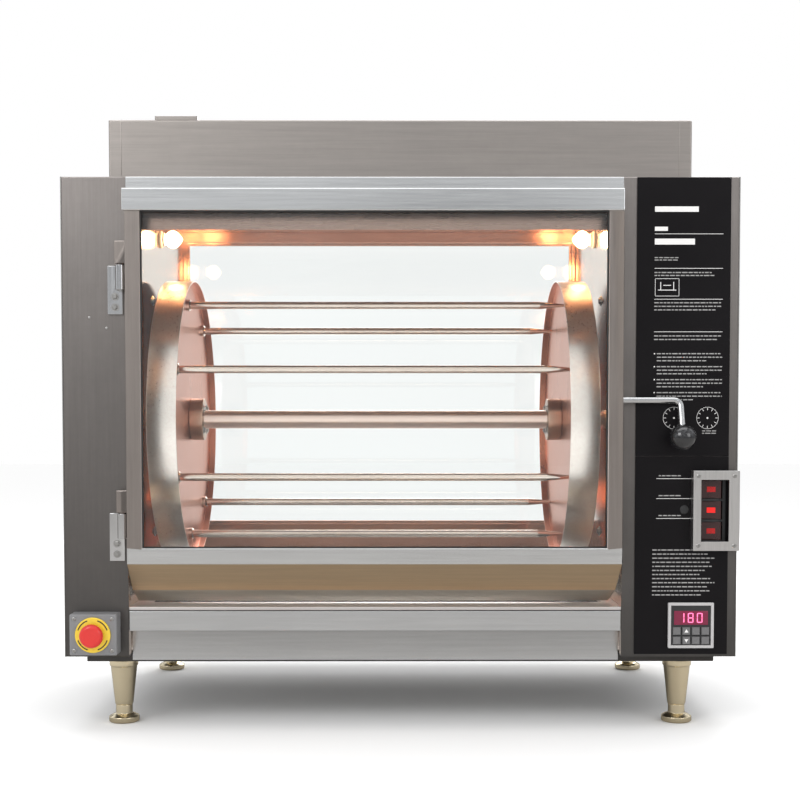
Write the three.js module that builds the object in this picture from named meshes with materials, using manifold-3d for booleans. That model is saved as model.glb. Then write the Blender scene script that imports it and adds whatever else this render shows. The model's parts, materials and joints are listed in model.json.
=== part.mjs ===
// Commercial rotisserie oven: two side cabinets joined by a glazed cooking bay with a
// turning spit frame, a hinged glass door, a grease drawer and a control panel.
// Millimetres. +X to the right seen from the front, the front faces -Y, +Z up.
// Origin: on the floor, under the middle of the oven.
import * as THREE from 'three';
import { mergeVertices } from 'three/addons/utils/BufferGeometryUtils.js';
import Module from 'manifold-3d';

const wasm = await Module();
wasm.setup();

// ---------------------------------------------------------------- driving dimensions
const WIDTH = 1150;
const CABINET_DEPTH = 640;
const CABINET_HEIGHT = 816;
const LEFT_CABINET_WIDTH = 110;
const RIGHT_CABINET_WIDTH = 197;
const SHEET = 2;
const GAP = 0.3;

const LEG_HEIGHT = 111;
const LEG_TOP_R = 25;
const LEG_BOTTOM_R = 15.5;
const FOOT_R = 26.5;
const FOOT_NECK_R = 14.5;
const FOOT_PLATE = 14;
const FOOT_NECK = 17;
const FOOT_STUD_R = 6;
const FOOT_STUD_LENGTH = 44;
const LEG_BORE_DEPTH = 52;
const BASE_HEIGHT = 14;
const BASE_RAIL = 40;
const BASE_INSET_X = 30;
const BASE_INSET_Y = 34;
const LEG_INSET = 58;
const LEG_INSET_Y = 31;

const VENT_LENGTH = 120;
const VENT_HEIGHT = 6;
const VENT_PITCH = 18;
const VENT_ROWS = 5;
const VENT_RISE = 90;
const VENT_DROP = 170;

const HOOD_HEIGHT = 110;
const HOOD_INSET = 68;
const HOOD_SETBACK = 70;
const FLUE_SIZE = 74;
const FLUE_HEIGHT = 7;
const FLUE_FROM_LEFT = 80;
const HEADER_RETURN = 65;

const DOOR_GAP = 3;
const DOOR_TOP_GAP = 2;
const DOOR_DEPTH = 40;
const DOOR_PROUD = 28;
const DOOR_STILE = 26;
const DOOR_TOP_RAIL = 37;
const DOOR_TOP_PROUD = 4;
const DOOR_BOTTOM_RAIL = 27;
const DOOR_LIP = 5;
const HEADER_HEIGHT = 22;
const GLASS = 5;
const GLASS_GRIP = 6;
const APRON_DROP = 49;
const APRON_BACK = 40;
const LIP_DROP = 24;
const LIP_BACK = 43;
const APRON_TAPER_LEFT = 4;
const APRON_TAPER_RIGHT = 12;

const HINGE_CLEARANCE = 1;
const HINGE_AXIS_PROUD = 15;
const HINGE_R = 8.5;
const HINGE_PIN_R = 4;
const HINGE_BLOCK = 38;
const HINGE_BARREL = 42;
const HINGE_LEAF = 82;
const HINGE_LEAF_WIDTH = 26;
const HINGE_LEAF_THICK = 3;
const HINGE_PIN_SHORT = 3;
const HINGE_PLAY = 2;
const HINGE_UPPER_DROP = 147;
const HINGE_LOWER_RISE = 249;

const HANDLE_R = 5.75;
const HANDLE_RISE = 439;
const HANDLE_PROUD = 11;
const HANDLE_REACH = 99;
const HANDLE_DROP = 67;
const HANDLE_BEND = 9;
const HANDLE_TILT = THREE.MathUtils.degToRad(20);
const KNOB_R = 22.5;
const KNOB_SOCKET = 12;
const CAM_FROM_END = 3;
const CAM_WIDTH = 8;
const CAM_REACH = 16;
const CAM_HEIGHT = 10;

const SILL_RISE = 80;
const SILL_THICK = 6;
const SILL_RAIL = 65;
const SILL_SIDE = 24;
const DRAWER_BAND = 35;
const DRAWER_BAND_DEPTH = 28;
const DRAWER_FACE = 54;
const DRAWER_FLOOR_GAP = 3;
const DRAWER_SIDE_GAP = 9;
const DRAWER_BACK_GAP = 70;

const REAR_STILE = 13;
const REAR_HEADER = 34;
const REAR_BOTTOM = 102;
const REAR_DEPTH = 12;

const ROOF_DROP = 8;
const VALANCE = 79;
const AXLE_R = 17.5;
const JOURNAL_R = 12.5;
const JOURNAL_LENGTH = 34;
const JOURNAL_SHOULDER = 12;
const JOURNAL_BEYOND_SPROCKET = 6;
const HUB_R = 40;
const HUB_LENGTH = 26;
const DISC_SILL_CLEARANCE = 57;
const DISC_ROOF_CLEARANCE = 137;
const DISC_DOOR_CLEARANCE = 44;
const DISC_RIM = 40;
const DISC_LIP = 12;
const DISC_WALL_GAP = 62;
const DISC_RIGHT_GAP = 69;
const SPIT_COUNT = 7;
const SPIT_INSET = 42;
const SPIT_R = 7;
const SPIT_PIN_R = 4;
const SPIT_POINT = 46;
const SPIT_PIN = 12;
const SPIT_SLIM = 0.4;
const SPIT_TIP = 4;
const SPIT_START = THREE.MathUtils.degToRad(23.6);
const RUN_CLEAR = 0.3;
const BEARING_R = 28;
const BEARING_LENGTH = 23;
const BEARING_FLANGE_R = 45;
const BEARING_FLANGE = 8;

const CHAIN_PITCH = 12.7;
const CHAIN_THICK = 8;
const ROTOR_TEETH = 36;
const MOTOR_TEETH = 15;
const TOOTH_HEIGHT = 4;
const TOOTH_ROOT = 0.36;
const TOOTH_TIP = 0.1;
const CHAIN_CLEARANCE = 0.6;
const SPROCKET_WIDTH = 7;
const SPROCKET_FROM_WALL = 26;
const MOTOR_BACK = 150;
const MOTOR_DROP = 224;
const GEARBOX = 92;
const GEARBOX_WIDTH = 66;
const GEARBOX_FROM_SPROCKET = 8;
const MOTOR_STAND = 6;
const SHAFT_ENTRY = 22;
const MOTOR_R = 32;
const MOTOR_LENGTH = 125;
const MOTOR_SHAFT_R = 7;

const PANEL_THICK = 2;
const PANEL_LEFT = 22;
const PANEL_RIGHT = 16;
const PANEL_SPLIT = 344;
const PANEL_MARGIN = 5;

const ROCKER_PITCH = 35.5;
const ROCKER_COUNT = 3;
const ROCKER_WIDTH = 34;
const ROCKER_HEIGHT = 31;
const ROCKER_REST = THREE.MathUtils.degToRad(8);
const ROCKER_FRONT = 7;
const ROCKER_DIP = 3;
const ROCKER_BACK = 6;
const ROCKER_PIVOT = 2;
const ROCKER_POCKET = 11;
const ROCKER_SIDE_GAP = 1.3;
const SWITCH_BEZEL = 1.5;
const SWITCH_FROM_RIGHT = 45;
const SWITCH_RISE = 252;
const SWITCH_DEPTH = 36;
const GUARD_WIDTH = 79;
const GUARD_HEIGHT = 136;
const GUARD_PROUD = 20;
const GUARD_WINDOW = 47;
const GUARD_WINDOW_HEIGHT = 105;

const CONTROLLER = 78;
const CONTROLLER_BODY = 68;
const CONTROLLER_FRAME = 5;
const CONTROLLER_PROUD = 6;
const CONTROLLER_RECESS = 3;
const CONTROLLER_SINK = 1;
const CONTROLLER_DEPTH = 58;
const CONTROLLER_FROM_PANEL = 96;
const CONTROLLER_RISE = 55;

const ESTOP_WIDTH = 80;
const ESTOP_HEIGHT = 70;
const ESTOP_DEPTH = 34;
const ESTOP_INSET = 16;
const ESTOP_RISE = 43;
const ESTOP_RING_R = 30;
const ESTOP_RING = 3;
const ESTOP_STEM_R = 10.7;
const ESTOP_HEAD_R = 20;
const ESTOP_HEAD = 12;
const ESTOP_TRAVEL = 6;
const ESTOP_WALL = 2.5;
const ESTOP_STEM = 14;

const LAMP_DROP = 53;
const LAMP_BACK = 20;
const LAMP_BASE_R = 17;
const LAMP_BASE = 10;
const LAMP_BULB_R = 17;
const HEATER_R = 4.5;
const HEATER_WALL_GAP = 4;
const HEATER_SPREAD = 100;
const HEATER_END_CLEARANCE = 80;
const GLAND_R = 16;
const GLAND_BORE_R = 6;
const GLAND_INSET = 45;
const GLAND_RISE = 45;
const GLAND_NUT = 10;
const GLAND_TAIL = 26;
const GLAND_INSIDE = 14;
const CUT_MARGIN = 0.5;
const ROUND = 24;
const DISC_SIDES = 56;

// ---------------------------------------------------------------- places that follow
const FRONT = -CABINET_DEPTH / 2;
const BACK = CABINET_DEPTH / 2;
const LEFT = -WIDTH / 2;
const RIGHT = WIDTH / 2;
const BAY_LEFT = LEFT + LEFT_CABINET_WIDTH;
const BAY_RIGHT = RIGHT - RIGHT_CABINET_WIDTH;
const FLOOR = LEG_HEIGHT + BASE_HEIGHT;
const TOP = FLOOR + CABINET_HEIGHT;
const SILL_TOP = FLOOR + SILL_RISE + SILL_THICK;
const DOOR_LEFT = BAY_LEFT + DOOR_GAP;
const DOOR_RIGHT = BAY_RIGHT - DOOR_GAP;
const DOOR_TOP = TOP - HEADER_HEIGHT - DOOR_TOP_GAP;
const DOOR_BOTTOM = SILL_TOP + DOOR_GAP + LIP_DROP + APRON_DROP;
const DOOR_FRONT = FRONT - DOOR_PROUD;
const DOOR_BACK = DOOR_FRONT + DOOR_DEPTH;
const HINGE_X = DOOR_LEFT - HINGE_CLEARANCE - HINGE_R;
const HINGE_Y = FRONT - HINGE_AXIS_PROUD;
const HANDLE_Y = FRONT - HANDLE_PROUD;
const HANDLE_Z = FLOOR + HANDLE_RISE;
const KNOB_Y = HANDLE_Y - HANDLE_DROP * Math.sin(HANDLE_TILT);
const REACH = -KNOB_Y + KNOB_R;
const ROOF_Z = TOP - ROOF_DROP;
const ROTOR_BOTTOM = SILL_TOP + DISC_SILL_CLEARANCE;
const ROTOR_TOP = ROOF_Z - DISC_ROOF_CLEARANCE;
const AXLE_Z = (ROTOR_BOTTOM + ROTOR_TOP) / 2;
const DISC_R = Math.min((ROTOR_TOP - ROTOR_BOTTOM) / 2, -DOOR_BACK - DISC_DOOR_CLEARANCE);
const SPIT_CIRCLE_R = DISC_R - SPIT_INSET;
const LAMP_Z = ROOF_Z - LAMP_DROP;
const DISC_LEFT = BAY_LEFT + DISC_WALL_GAP;
const DISC_RIGHT = BAY_RIGHT - DISC_RIGHT_GAP;
const PANEL_FRONT = FRONT - GAP - PANEL_THICK;
const SWITCH_X = RIGHT - SWITCH_FROM_RIGHT;
const SWITCH_Z = FLOOR + SWITCH_RISE;
const CONTROLLER_X = BAY_RIGHT + PANEL_LEFT + CONTROLLER_FROM_PANEL;
const CONTROLLER_Z = FLOOR + CONTROLLER_RISE;

// ---------------------------------------------------------------- finishes
const finish = (color, roughness, metalness) => new THREE.MeshStandardMaterial({
  color, roughness, metalness,
});
const steel = finish(0x9d9a96, 0.38, 1.0);
const warmSteel = finish(0xb59a86, 0.42, 1.0);
const nickel = finish(0xb2a088, 0.3, 1.0);
const chrome = finish(0xd9d9d9, 0.12, 1.0);
const darkSteel = finish(0x4a4846, 0.55, 0.9);
const blackPanel = finish(0x141216, 0.35, 0.0);
const blackPlastic = finish(0x17171a, 0.2, 0.0);
const greyPlastic = finish(0xa9a6a6, 0.5, 0.0);
const redPlastic = finish(0xc41a16, 0.35, 0.0);
const yellowPlastic = finish(0xe8c321, 0.4, 0.0);
const litRed = finish(0x7d1412, 0.3, 0.0);
const paint = finish(0x5a6066, 0.5, 0.3);
const lampGlass = finish(0xffd9a0, 0.2, 0.0);
const glass = new THREE.MeshStandardMaterial({
  color: 0xbfc7c4, roughness: 0.05, metalness: 0.0, transparent: true, opacity: 0.3,
});

// ---------------------------------------------------------------- solids
function signedVolume(corners, triangles) {
  let sum = 0;
  const at = (i) => new THREE.Vector3().fromArray(corners, triangles[i] * 3);
  for (let i = 0; i < triangles.length; i += 3) {
    sum += at(i).dot(at(i + 1).cross(at(i + 2)));
  }
  return sum / 6;
}

function solid(geometry) {
  const bare = geometry.clone();
  bare.deleteAttribute('normal');
  bare.deleteAttribute('uv');
  const merged = mergeVertices(bare, 1e-4);
  const vertProperties = new Float32Array(merged.attributes.position.array);
  const triVerts = new Uint32Array(merged.index.array);
  if (signedVolume(vertProperties, triVerts) < 0) triVerts.reverse();
  return new wasm.Manifold(new wasm.Mesh({ numProp: 3, vertProperties, triVerts }));
}

function joined(first, ...others) {
  return others.reduce((body, other) => body.add(other), first);
}

function cut(first, ...others) {
  return others.reduce((body, other) => body.subtract(other), first);
}

function surface(body) {
  const { vertProperties, triVerts } = body.getMesh();
  const geometry = new THREE.BufferGeometry();
  geometry.setAttribute('position', new THREE.BufferAttribute(vertProperties, 3));
  geometry.setIndex(new THREE.BufferAttribute(triVerts, 1));
  geometry.computeVertexNormals();
  return geometry;
}

function block([x0, x1], [y0, y1], [z0, z1]) {
  const geometry = new THREE.BoxGeometry(x1 - x0, y1 - y0, z1 - z0);
  return solid(geometry.translate((x0 + x1) / 2, (y0 + y1) / 2, (z0 + z1) / 2));
}

// A closed outline given as [first, second] pairs, pushed along X, Y or Z.
function outline(points) {
  return new THREE.Shape(points.map(([u, v]) => new THREE.Vector2(u, v)));
}

function pushed(shape, length, curveSegments = ROUND) {
  return new THREE.ExtrudeGeometry(shape, { depth: length, bevelEnabled: false, curveSegments });
}

function alongX(shape, x0, x1) {
  const turn = new THREE.Matrix4().makeBasis(
    new THREE.Vector3(0, 1, 0), new THREE.Vector3(0, 0, 1), new THREE.Vector3(1, 0, 0));
  return solid(pushed(shape, x1 - x0).applyMatrix4(turn).translate(x0, 0, 0));
}

function alongZ(shape, z0, z1) {
  return solid(pushed(shape, z1 - z0).translate(0, 0, z0));
}

// A turned piece: profile of [radius, distance] pairs that starts and ends on the axis
// or closes on itself.
function turned(profile, axis, segments = ROUND) {
  const points = profile.map(([r, h]) => new THREE.Vector2(r, h));
  const geometry = new THREE.LatheGeometry(points, segments);
  if (axis === 'x') geometry.rotateZ(-Math.PI / 2);
  if (axis === 'z') geometry.rotateX(Math.PI / 2);
  return solid(geometry);
}

function rod(axis, r, from, to, segments = ROUND) {
  return turned([[0, from], [r, from], [r, to], [0, to]], axis, segments);
}

// A round bar swept along a path.
function tube(path, r, steps, curveSegments) {
  const section = new THREE.Shape().absarc(0, 0, r, 0, 2 * Math.PI);
  return solid(new THREE.ExtrudeGeometry(section, {
    steps, curveSegments, bevelEnabled: false, extrudePath: path,
  }));
}

// ---------------------------------------------------------------- assembly
const oven = new THREE.Group();

function piece(name, body, material, parent = oven) {
  const mesh = new THREE.Mesh(surface(body), material);
  mesh.name = name;
  parent.add(mesh);
  return mesh;
}

function groupAt(x, y, z) {
  const group = new THREE.Group();
  group.position.set(x, y, z);
  oven.add(group);
  return group;
}

// ---------------------------------------------------------------- base, legs and feet
function addBase() {
  const x = WIDTH / 2 - BASE_INSET_X;
  const y = CABINET_DEPTH / 2 - BASE_INSET_Y;
  const span = [LEG_HEIGHT, FLOOR - GAP];
  const beyond = [LEG_HEIGHT - 1, FLOOR + 1];
  const inner = [x - BASE_RAIL, y - BASE_RAIL];
  const ring = cut(
    block([-x, x], [-y, y], span),
    block([-inner[0], inner[0]], [-inner[1], inner[1]], beyond));
  piece('base_frame', ring, darkSteel);
}

function addLeg(place, x, y) {
  const group = groupAt(x, y, 0);
  const bottom = FOOT_PLATE + FOOT_NECK + GAP;
  const top = LEG_HEIGHT - GAP;
  const cone = turned([[0, bottom], [LEG_BOTTOM_R, bottom], [LEG_TOP_R, top], [0, top]], 'z');
  const bore = rod('z', FOOT_STUD_R + RUN_CLEAR, bottom - 1, bottom + LEG_BORE_DEPTH, 12);
  piece(`leg_${place}`, cut(cone, bore), nickel, group);
  const neckTop = FOOT_PLATE + FOOT_NECK;
  const foot = turned([
    [0, 0], [FOOT_R - 2, 0], [FOOT_R, 2], [FOOT_R, FOOT_PLATE - 3], [FOOT_R - 3, FOOT_PLATE],
    [FOOT_NECK_R, FOOT_PLATE], [FOOT_NECK_R, neckTop], [FOOT_STUD_R, neckTop],
    [FOOT_STUD_R, neckTop + FOOT_STUD_LENGTH], [0, neckTop + FOOT_STUD_LENGTH],
  ], 'z');
  piece(`foot_${place}`, foot, nickel, group);
}

function addLegs() {
  const x = WIDTH / 2 - BASE_INSET_X - LEG_INSET;
  const y = CABINET_DEPTH / 2 - BASE_INSET_Y - LEG_INSET_Y;
  addLeg('front_left', -x, -y);
  addLeg('front_right', x, -y);
  addLeg('back_left', -x, y);
  addLeg('back_right', x, y);
}

// ---------------------------------------------------------------- cabinets
// A folded wrap: front, top, back and floor in one sheet, open at both ends.
function wrap(x0, x1) {
  return cut(
    block([x0, x1], [FRONT, BACK], [FLOOR, TOP]),
    block([x0 - 1, x1 + 1], [FRONT + SHEET, BACK - SHEET], [FLOOR + SHEET, TOP - SHEET]));
}

function controllerHole(margin) {
  const half = CONTROLLER_BODY / 2 + margin;
  return block([CONTROLLER_X - half, CONTROLLER_X + half], [FRONT - 10, FRONT + 10],
    [CONTROLLER_Z - half, CONTROLLER_Z + half]);
}

const SWITCH_HALF_WIDTH = ROCKER_WIDTH / 2 + 5;
const SWITCH_HALF_HEIGHT = (ROCKER_PITCH * (ROCKER_COUNT - 1) + ROCKER_HEIGHT) / 2 + 2.5;

function switchHole(margin) {
  const halfX = SWITCH_HALF_WIDTH + margin;
  const halfZ = SWITCH_HALF_HEIGHT + margin;
  return block([SWITCH_X - halfX, SWITCH_X + halfX], [FRONT - 10, FRONT + 10],
    [SWITCH_Z - halfZ, SWITCH_Z + halfZ]);
}

function addCabinets() {
  piece('left_cabinet', wrap(LEFT + SHEET + GAP, BAY_LEFT), steel);
  const gland = rod('y', GLAND_R - 4 + RUN_CLEAR, BACK - 10, BACK + 10)
    .translate([RIGHT - GLAND_INSET, 0, FLOOR + GLAND_RISE]);
  const right = cut(wrap(BAY_RIGHT, RIGHT - SHEET - GAP), controllerHole(CUT_MARGIN), switchHole(CUT_MARGIN), gland);
  piece('right_cabinet', right, steel);
}

// Removable outer side with two banks of cooling slots.
function sidePanel(x0) {
  const plate = block([x0, x0 + SHEET], [FRONT, BACK], [FLOOR, TOP]);
  const slots = [];
  const half = VENT_LENGTH / 2;
  for (const bank of [FLOOR + VENT_RISE, TOP - VENT_DROP]) {
    for (let row = 0; row < VENT_ROWS; row += 1) {
      const z = bank + row * VENT_PITCH;
      slots.push(block([x0 - 1, x0 + SHEET + 1], [-half, half], [z, z + VENT_HEIGHT]));
    }
  }
  return cut(plate, ...slots);
}

// Wall between cabinet and bay, with the axle and lamp holes.
function bayWall(x0) {
  const clear = SHEET + CUT_MARGIN;
  const plate = block([x0, x0 + SHEET], [FRONT + clear, BACK - clear], [FLOOR + clear, TOP - clear]);
  const axleHole = rod('x', JOURNAL_R + 3, x0 - 1, x0 + SHEET + 1).translate([0, 0, AXLE_Z]);
  const lampHole = rod('x', LAMP_BASE_R - 8, x0 - 1, x0 + SHEET + 1, 12)
    .translate([0, LAMP_BACK, LAMP_Z]);
  return cut(plate, axleHole, lampHole);
}

function addWalls() {
  piece('left_side_panel', sidePanel(LEFT), steel);
  piece('right_side_panel', sidePanel(RIGHT - SHEET), steel);
  piece('bay_wall_left', bayWall(BAY_LEFT - SHEET), warmSteel);
  piece('bay_wall_right', bayWall(BAY_RIGHT), warmSteel);
}

// ---------------------------------------------------------------- bay top, hood and rear
const BAY = [BAY_LEFT + GAP, BAY_RIGHT - GAP];

// Ceiling plate with a deep front valance and upturned edges, and the strip above the door.
function addRoof() {
  const y = -DOOR_BACK - 2;
  const top = TOP - SHEET - GAP;
  const hem = ROOF_Z - VALANCE;
  const channel = outline([
    [-y, hem], [-y + SHEET, hem], [-y + SHEET, ROOF_Z], [y, ROOF_Z], [y, top], [y - SHEET, top],
    [y - SHEET, ROOF_Z + SHEET], [-y + SHEET, ROOF_Z + SHEET], [-y + SHEET, top], [-y, top],
  ]);
  piece('bay_roof', alongX(channel, ...BAY), warmSteel);
  const bottom = TOP - HEADER_HEIGHT;
  const angle = outline([
    [FRONT, bottom], [FRONT + SHEET, bottom], [FRONT + SHEET, TOP - SHEET],
    [FRONT + HEADER_RETURN, TOP - SHEET], [FRONT + HEADER_RETURN, TOP], [FRONT, TOP],
  ]);
  piece('front_header', alongX(angle, ...BAY), steel);
}

function addHood() {
  const x = WIDTH / 2 - HOOD_INSET;
  const y = CABINET_DEPTH / 2 - HOOD_SETBACK;
  const bottom = TOP + GAP;
  const top = TOP + HOOD_HEIGHT;
  const shell = cut(
    block([-x, x], [-y, y], [bottom, top]),
    block([-x + SHEET, x - SHEET], [-y + SHEET, y - SHEET], [bottom - 1, top - SHEET]));
  const flueX = [-x + FLUE_FROM_LEFT, -x + FLUE_FROM_LEFT + FLUE_SIZE];
  const flueY = [-y + SHEET, -y + SHEET + FLUE_SIZE];
  const inside = ([a, b]) => [a + SHEET, b - SHEET];
  const collar = block(flueX, flueY, [top - SHEET, top + FLUE_HEIGHT]);
  const hole = block(inside(flueX), inside(flueY), [top - SHEET - 1, top + FLUE_HEIGHT + 1]);
  piece('hood', cut(joined(shell, collar), hole), steel);
}

function addRearWindow() {
  const bottom = SILL_TOP + GAP;
  const top = TOP - SHEET - GAP;
  const y0 = BACK - REAR_DEPTH;
  const holeX = [BAY[0] + REAR_STILE, BAY[1] - REAR_STILE];
  const holeZ = [SILL_TOP + REAR_BOTTOM, TOP - REAR_HEADER - SHEET];
  const grown = ([a, b], by) => [a - by, b + by];
  const rebateEnd = y0 + GLASS + 1.5;
  const frame = cut(
    block(BAY, [y0, BACK], [bottom, top]),
    block(holeX, [y0 - 1, BACK + 1], holeZ),
    block(grown(holeX, GLASS_GRIP), [y0 - 1, rebateEnd], grown(holeZ, GLASS_GRIP)));
  piece('rear_window_frame', frame, warmSteel);
  const fit = GLASS_GRIP - 0.5;
  const pane = block(grown(holeX, fit), [rebateEnd - GAP - GLASS, rebateEnd - GAP], grown(holeZ, fit));
  piece('rear_glass', pane, glass);
}

function addSill() {
  const ring = cut(
    block(BAY, [FRONT, BACK], [SILL_TOP - SILL_THICK, SILL_TOP]),
    block([BAY[0] + SILL_SIDE, BAY[1] - SILL_SIDE], [FRONT + SILL_RAIL, BACK - SILL_RAIL],
      [SILL_TOP - SILL_THICK - 1, SILL_TOP + 1]));
  const rear = block(BAY, [BACK - SHEET, BACK], [FLOOR + GAP, SILL_TOP - SILL_THICK + 1]);
  piece('sill_frame', joined(ring, rear), warmSteel);
}

// ---------------------------------------------------------------- grease drawer
function addDrawer() {
  const top = SILL_TOP - SILL_THICK - 1;
  const bandBottom = top - DRAWER_BAND;
  const back = FRONT + DRAWER_BAND_DEPTH;
  const faceBottom = bandBottom - DRAWER_FACE;
  const face = outline([
    [FRONT, bandBottom], [back - SHEET, bandBottom], [back - SHEET, faceBottom],
    [back, faceBottom], [back, top], [FRONT, top],
  ]);
  face.holes.push(new THREE.Path([
    [FRONT + SHEET, bandBottom + SHEET], [FRONT + SHEET, top - SHEET],
    [back - SHEET, top - SHEET], [back - SHEET, bandBottom + SHEET],
  ].map(([u, v]) => new THREE.Vector2(u, v))));
  const front = alongX(face, BAY_LEFT + 1, BAY_RIGHT - 1);
  const panX = [BAY_LEFT + DRAWER_SIDE_GAP, BAY_RIGHT - DRAWER_SIDE_GAP];
  const panY = [back - SHEET / 2, BACK - DRAWER_BACK_GAP];
  const panBottom = FLOOR + DRAWER_FLOOR_GAP;
  const inside = ([a, b]) => [a + SHEET, b - SHEET];
  const pan = cut(
    block(panX, panY, [panBottom, top - 2]),
    block(inside(panX), inside(panY), [panBottom + SHEET, top + 1]));
  piece('grease_drawer', joined(front, pan), steel);
}

// ---------------------------------------------------------------- door
const OPENING_X = [DOOR_LEFT + DOOR_STILE, DOOR_RIGHT - DOOR_STILE];
const OPENING_Z = [DOOR_BOTTOM + DOOR_BOTTOM_RAIL, DOOR_TOP - DOOR_TOP_RAIL];

// Slanted drip apron under the door with a lip that leads fat back to the drawer.
function apron() {
  const high = [DOOR_FRONT, DOOR_BOTTOM + SHEET];
  const bend = [DOOR_FRONT + APRON_BACK, DOOR_BOTTOM - APRON_DROP];
  const low = [bend[0] + LIP_BACK, bend[1] - LIP_DROP];
  const thick = 2 * SHEET;
  const sheet = alongX(outline([
    high, bend, low, [low[0], low[1] + thick], [bend[0] + thick / 2, bend[1] + thick],
    [high[0] + thick, high[1] - SHEET], [high[0] + thick, high[1]],
  ]), DOOR_LEFT, DOOR_RIGHT);
  const endCut = (x, taper) => alongZ(outline([
    [x, DOOR_FRONT], [x + DOOR_STILE * Math.sign(taper), DOOR_FRONT - 1],
    [x + DOOR_STILE * Math.sign(taper), low[0] + 1], [x - taper, low[0] + 1],
  ]), low[1] - 1, DOOR_BOTTOM - 0.5);
  return cut(sheet, endCut(DOOR_RIGHT, APRON_TAPER_RIGHT), endCut(DOOR_LEFT, -APRON_TAPER_LEFT));
}

const hingeZ = [DOOR_TOP - HINGE_UPPER_DROP + HINGE_BLOCK / 2 + 4, FLOOR + HINGE_LOWER_RISE];

// Knuckle welded to the door's edge, with the pin that drops into the fixed barrel.
function doorKnuckle(z) {
  const side = HINGE_R + 0.5;
  const knuckle = block([HINGE_X - side, DOOR_LEFT + 1], [HINGE_Y - side, HINGE_Y + side],
    [z, z + HINGE_BLOCK]);
  const pin = rod('z', HINGE_PIN_R, z - HINGE_BARREL + HINGE_PIN_SHORT, z + 1, 12)
    .translate([HINGE_X, HINGE_Y, 0]);
  return joined(knuckle, pin);
}

function fixedHinge(z) {
  const top = z - HINGE_PLAY;
  const barrel = rod('z', HINGE_R, top - HINGE_BARREL, top).translate([HINGE_X, HINGE_Y, 0]);
  const leafFront = FRONT - GAP - HINGE_LEAF_THICK;
  const leafRight = HINGE_X + 1.5;
  const leaf = block([leafRight - HINGE_LEAF_WIDTH, leafRight], [leafFront, FRONT - GAP],
    [top - HINGE_LEAF, top]);
  const web = block([HINGE_X - HINGE_R, leafRight], [HINGE_Y, leafFront + 1], [top - HINGE_BARREL, top]);
  const bore = rod('z', HINGE_PIN_R + RUN_CLEAR, top - HINGE_BARREL - 1, top + 1, 12)
    .translate([HINGE_X, HINGE_Y, 0]);
  return cut(joined(barrel, leaf, web), bore);
}

function addDoor() {
  const inside = DOOR_FRONT + SHEET;
  const full = block([DOOR_LEFT, DOOR_RIGHT], [DOOR_FRONT, DOOR_BACK], [DOOR_BOTTOM, DOOR_TOP]);
  const topRail = block([DOOR_LEFT - DOOR_TOP_PROUD, DOOR_RIGHT], [DOOR_FRONT - DOOR_TOP_PROUD, inside],
    [DOOR_TOP - DOOR_TOP_RAIL, DOOR_TOP]);
  const hollow = block([DOOR_LEFT + SHEET, DOOR_RIGHT - SHEET], [inside, DOOR_BACK + 1],
    [DOOR_BOTTOM + SHEET, DOOR_TOP - SHEET]);
  const grown = ([a, b], by) => [a - by, b + by];
  const lip = block(grown(OPENING_X, SHEET), [inside - 1, DOOR_FRONT + DOOR_LIP], grown(OPENING_Z, SHEET));
  const opening = block(OPENING_X, [DOOR_FRONT - DOOR_TOP_PROUD - 1, DOOR_BACK + 1], OPENING_Z);
  const handleHole = rod('x', HANDLE_R + RUN_CLEAR, DOOR_RIGHT - 5, DOOR_RIGHT + 5)
    .translate([0, HANDLE_Y, HANDLE_Z]);
  const frame = cut(joined(cut(joined(full, topRail), hollow), lip, apron()), opening, handleHole);
  piece('door_frame', joined(frame, ...hingeZ.map(doorKnuckle)), steel);

  const paneFront = DOOR_FRONT + DOOR_LIP + GAP;
  const pane = block(grown(OPENING_X, GLASS_GRIP), [paneFront, paneFront + GLASS],
    grown(OPENING_Z, GLASS_GRIP));
  piece('door_glass', pane, glass);
  piece('hinge_upper', fixedHinge(hingeZ[0]), chrome);
  piece('hinge_lower', fixedHinge(hingeZ[1]), chrome);
}

// Bent latch lever: along the axle through the door's edge, then down and forward.
function addHandle() {
  const group = groupAt(0, HANDLE_Y, HANDLE_Z);
  const start = OPENING_X[1] + GLASS_GRIP + 2;
  const end = DOOR_RIGHT + HANDLE_REACH;
  const down = new THREE.Vector3(0, -Math.sin(HANDLE_TILT), -Math.cos(HANDLE_TILT));
  const corner = new THREE.Vector3(end, 0, 0);
  const bendStart = new THREE.Vector3(end - HANDLE_BEND, 0, 0);
  const bendEnd = corner.clone().addScaledVector(down, HANDLE_BEND);
  const tip = corner.clone().addScaledVector(down, HANDLE_DROP - KNOB_R + KNOB_SOCKET);
  const degrees = THREE.MathUtils.radToDeg(HANDLE_TILT);
  const path = new THREE.CurvePath();
  path.add(new THREE.LineCurve3(new THREE.Vector3(start, 0, 0), bendStart));
  path.add(new THREE.QuadraticBezierCurve3(bendStart, corner, bendEnd));
  path.add(new THREE.LineCurve3(bendEnd, tip));
  const camStart = start + CAM_FROM_END;
  const cam = block([camStart, camStart + CAM_WIDTH], [0, CAM_REACH],
    [-CAM_HEIGHT / 2, CAM_HEIGHT / 2]);
  const lever = joined(tube(path, HANDLE_R, 36, 6), cam);
  piece('door_handle', lever, chrome, group);

  const centre = corner.clone().addScaledVector(down, HANDLE_DROP);
  const open = 2 * KNOB_R;
  const socket = turned([[0, 0], [HANDLE_R + GAP, 0], [HANDLE_R + GAP, open], [0, open]], 'z', 16)
    .rotate([-degrees, 0, 0])
    .translate(tip.clone().addScaledVector(down, GAP).toArray());
  const ball = solid(new THREE.SphereGeometry(KNOB_R, 24, 16)).translate(centre.toArray());
  piece('handle_knob', cut(ball, socket), blackPlastic, group);
}

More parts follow.
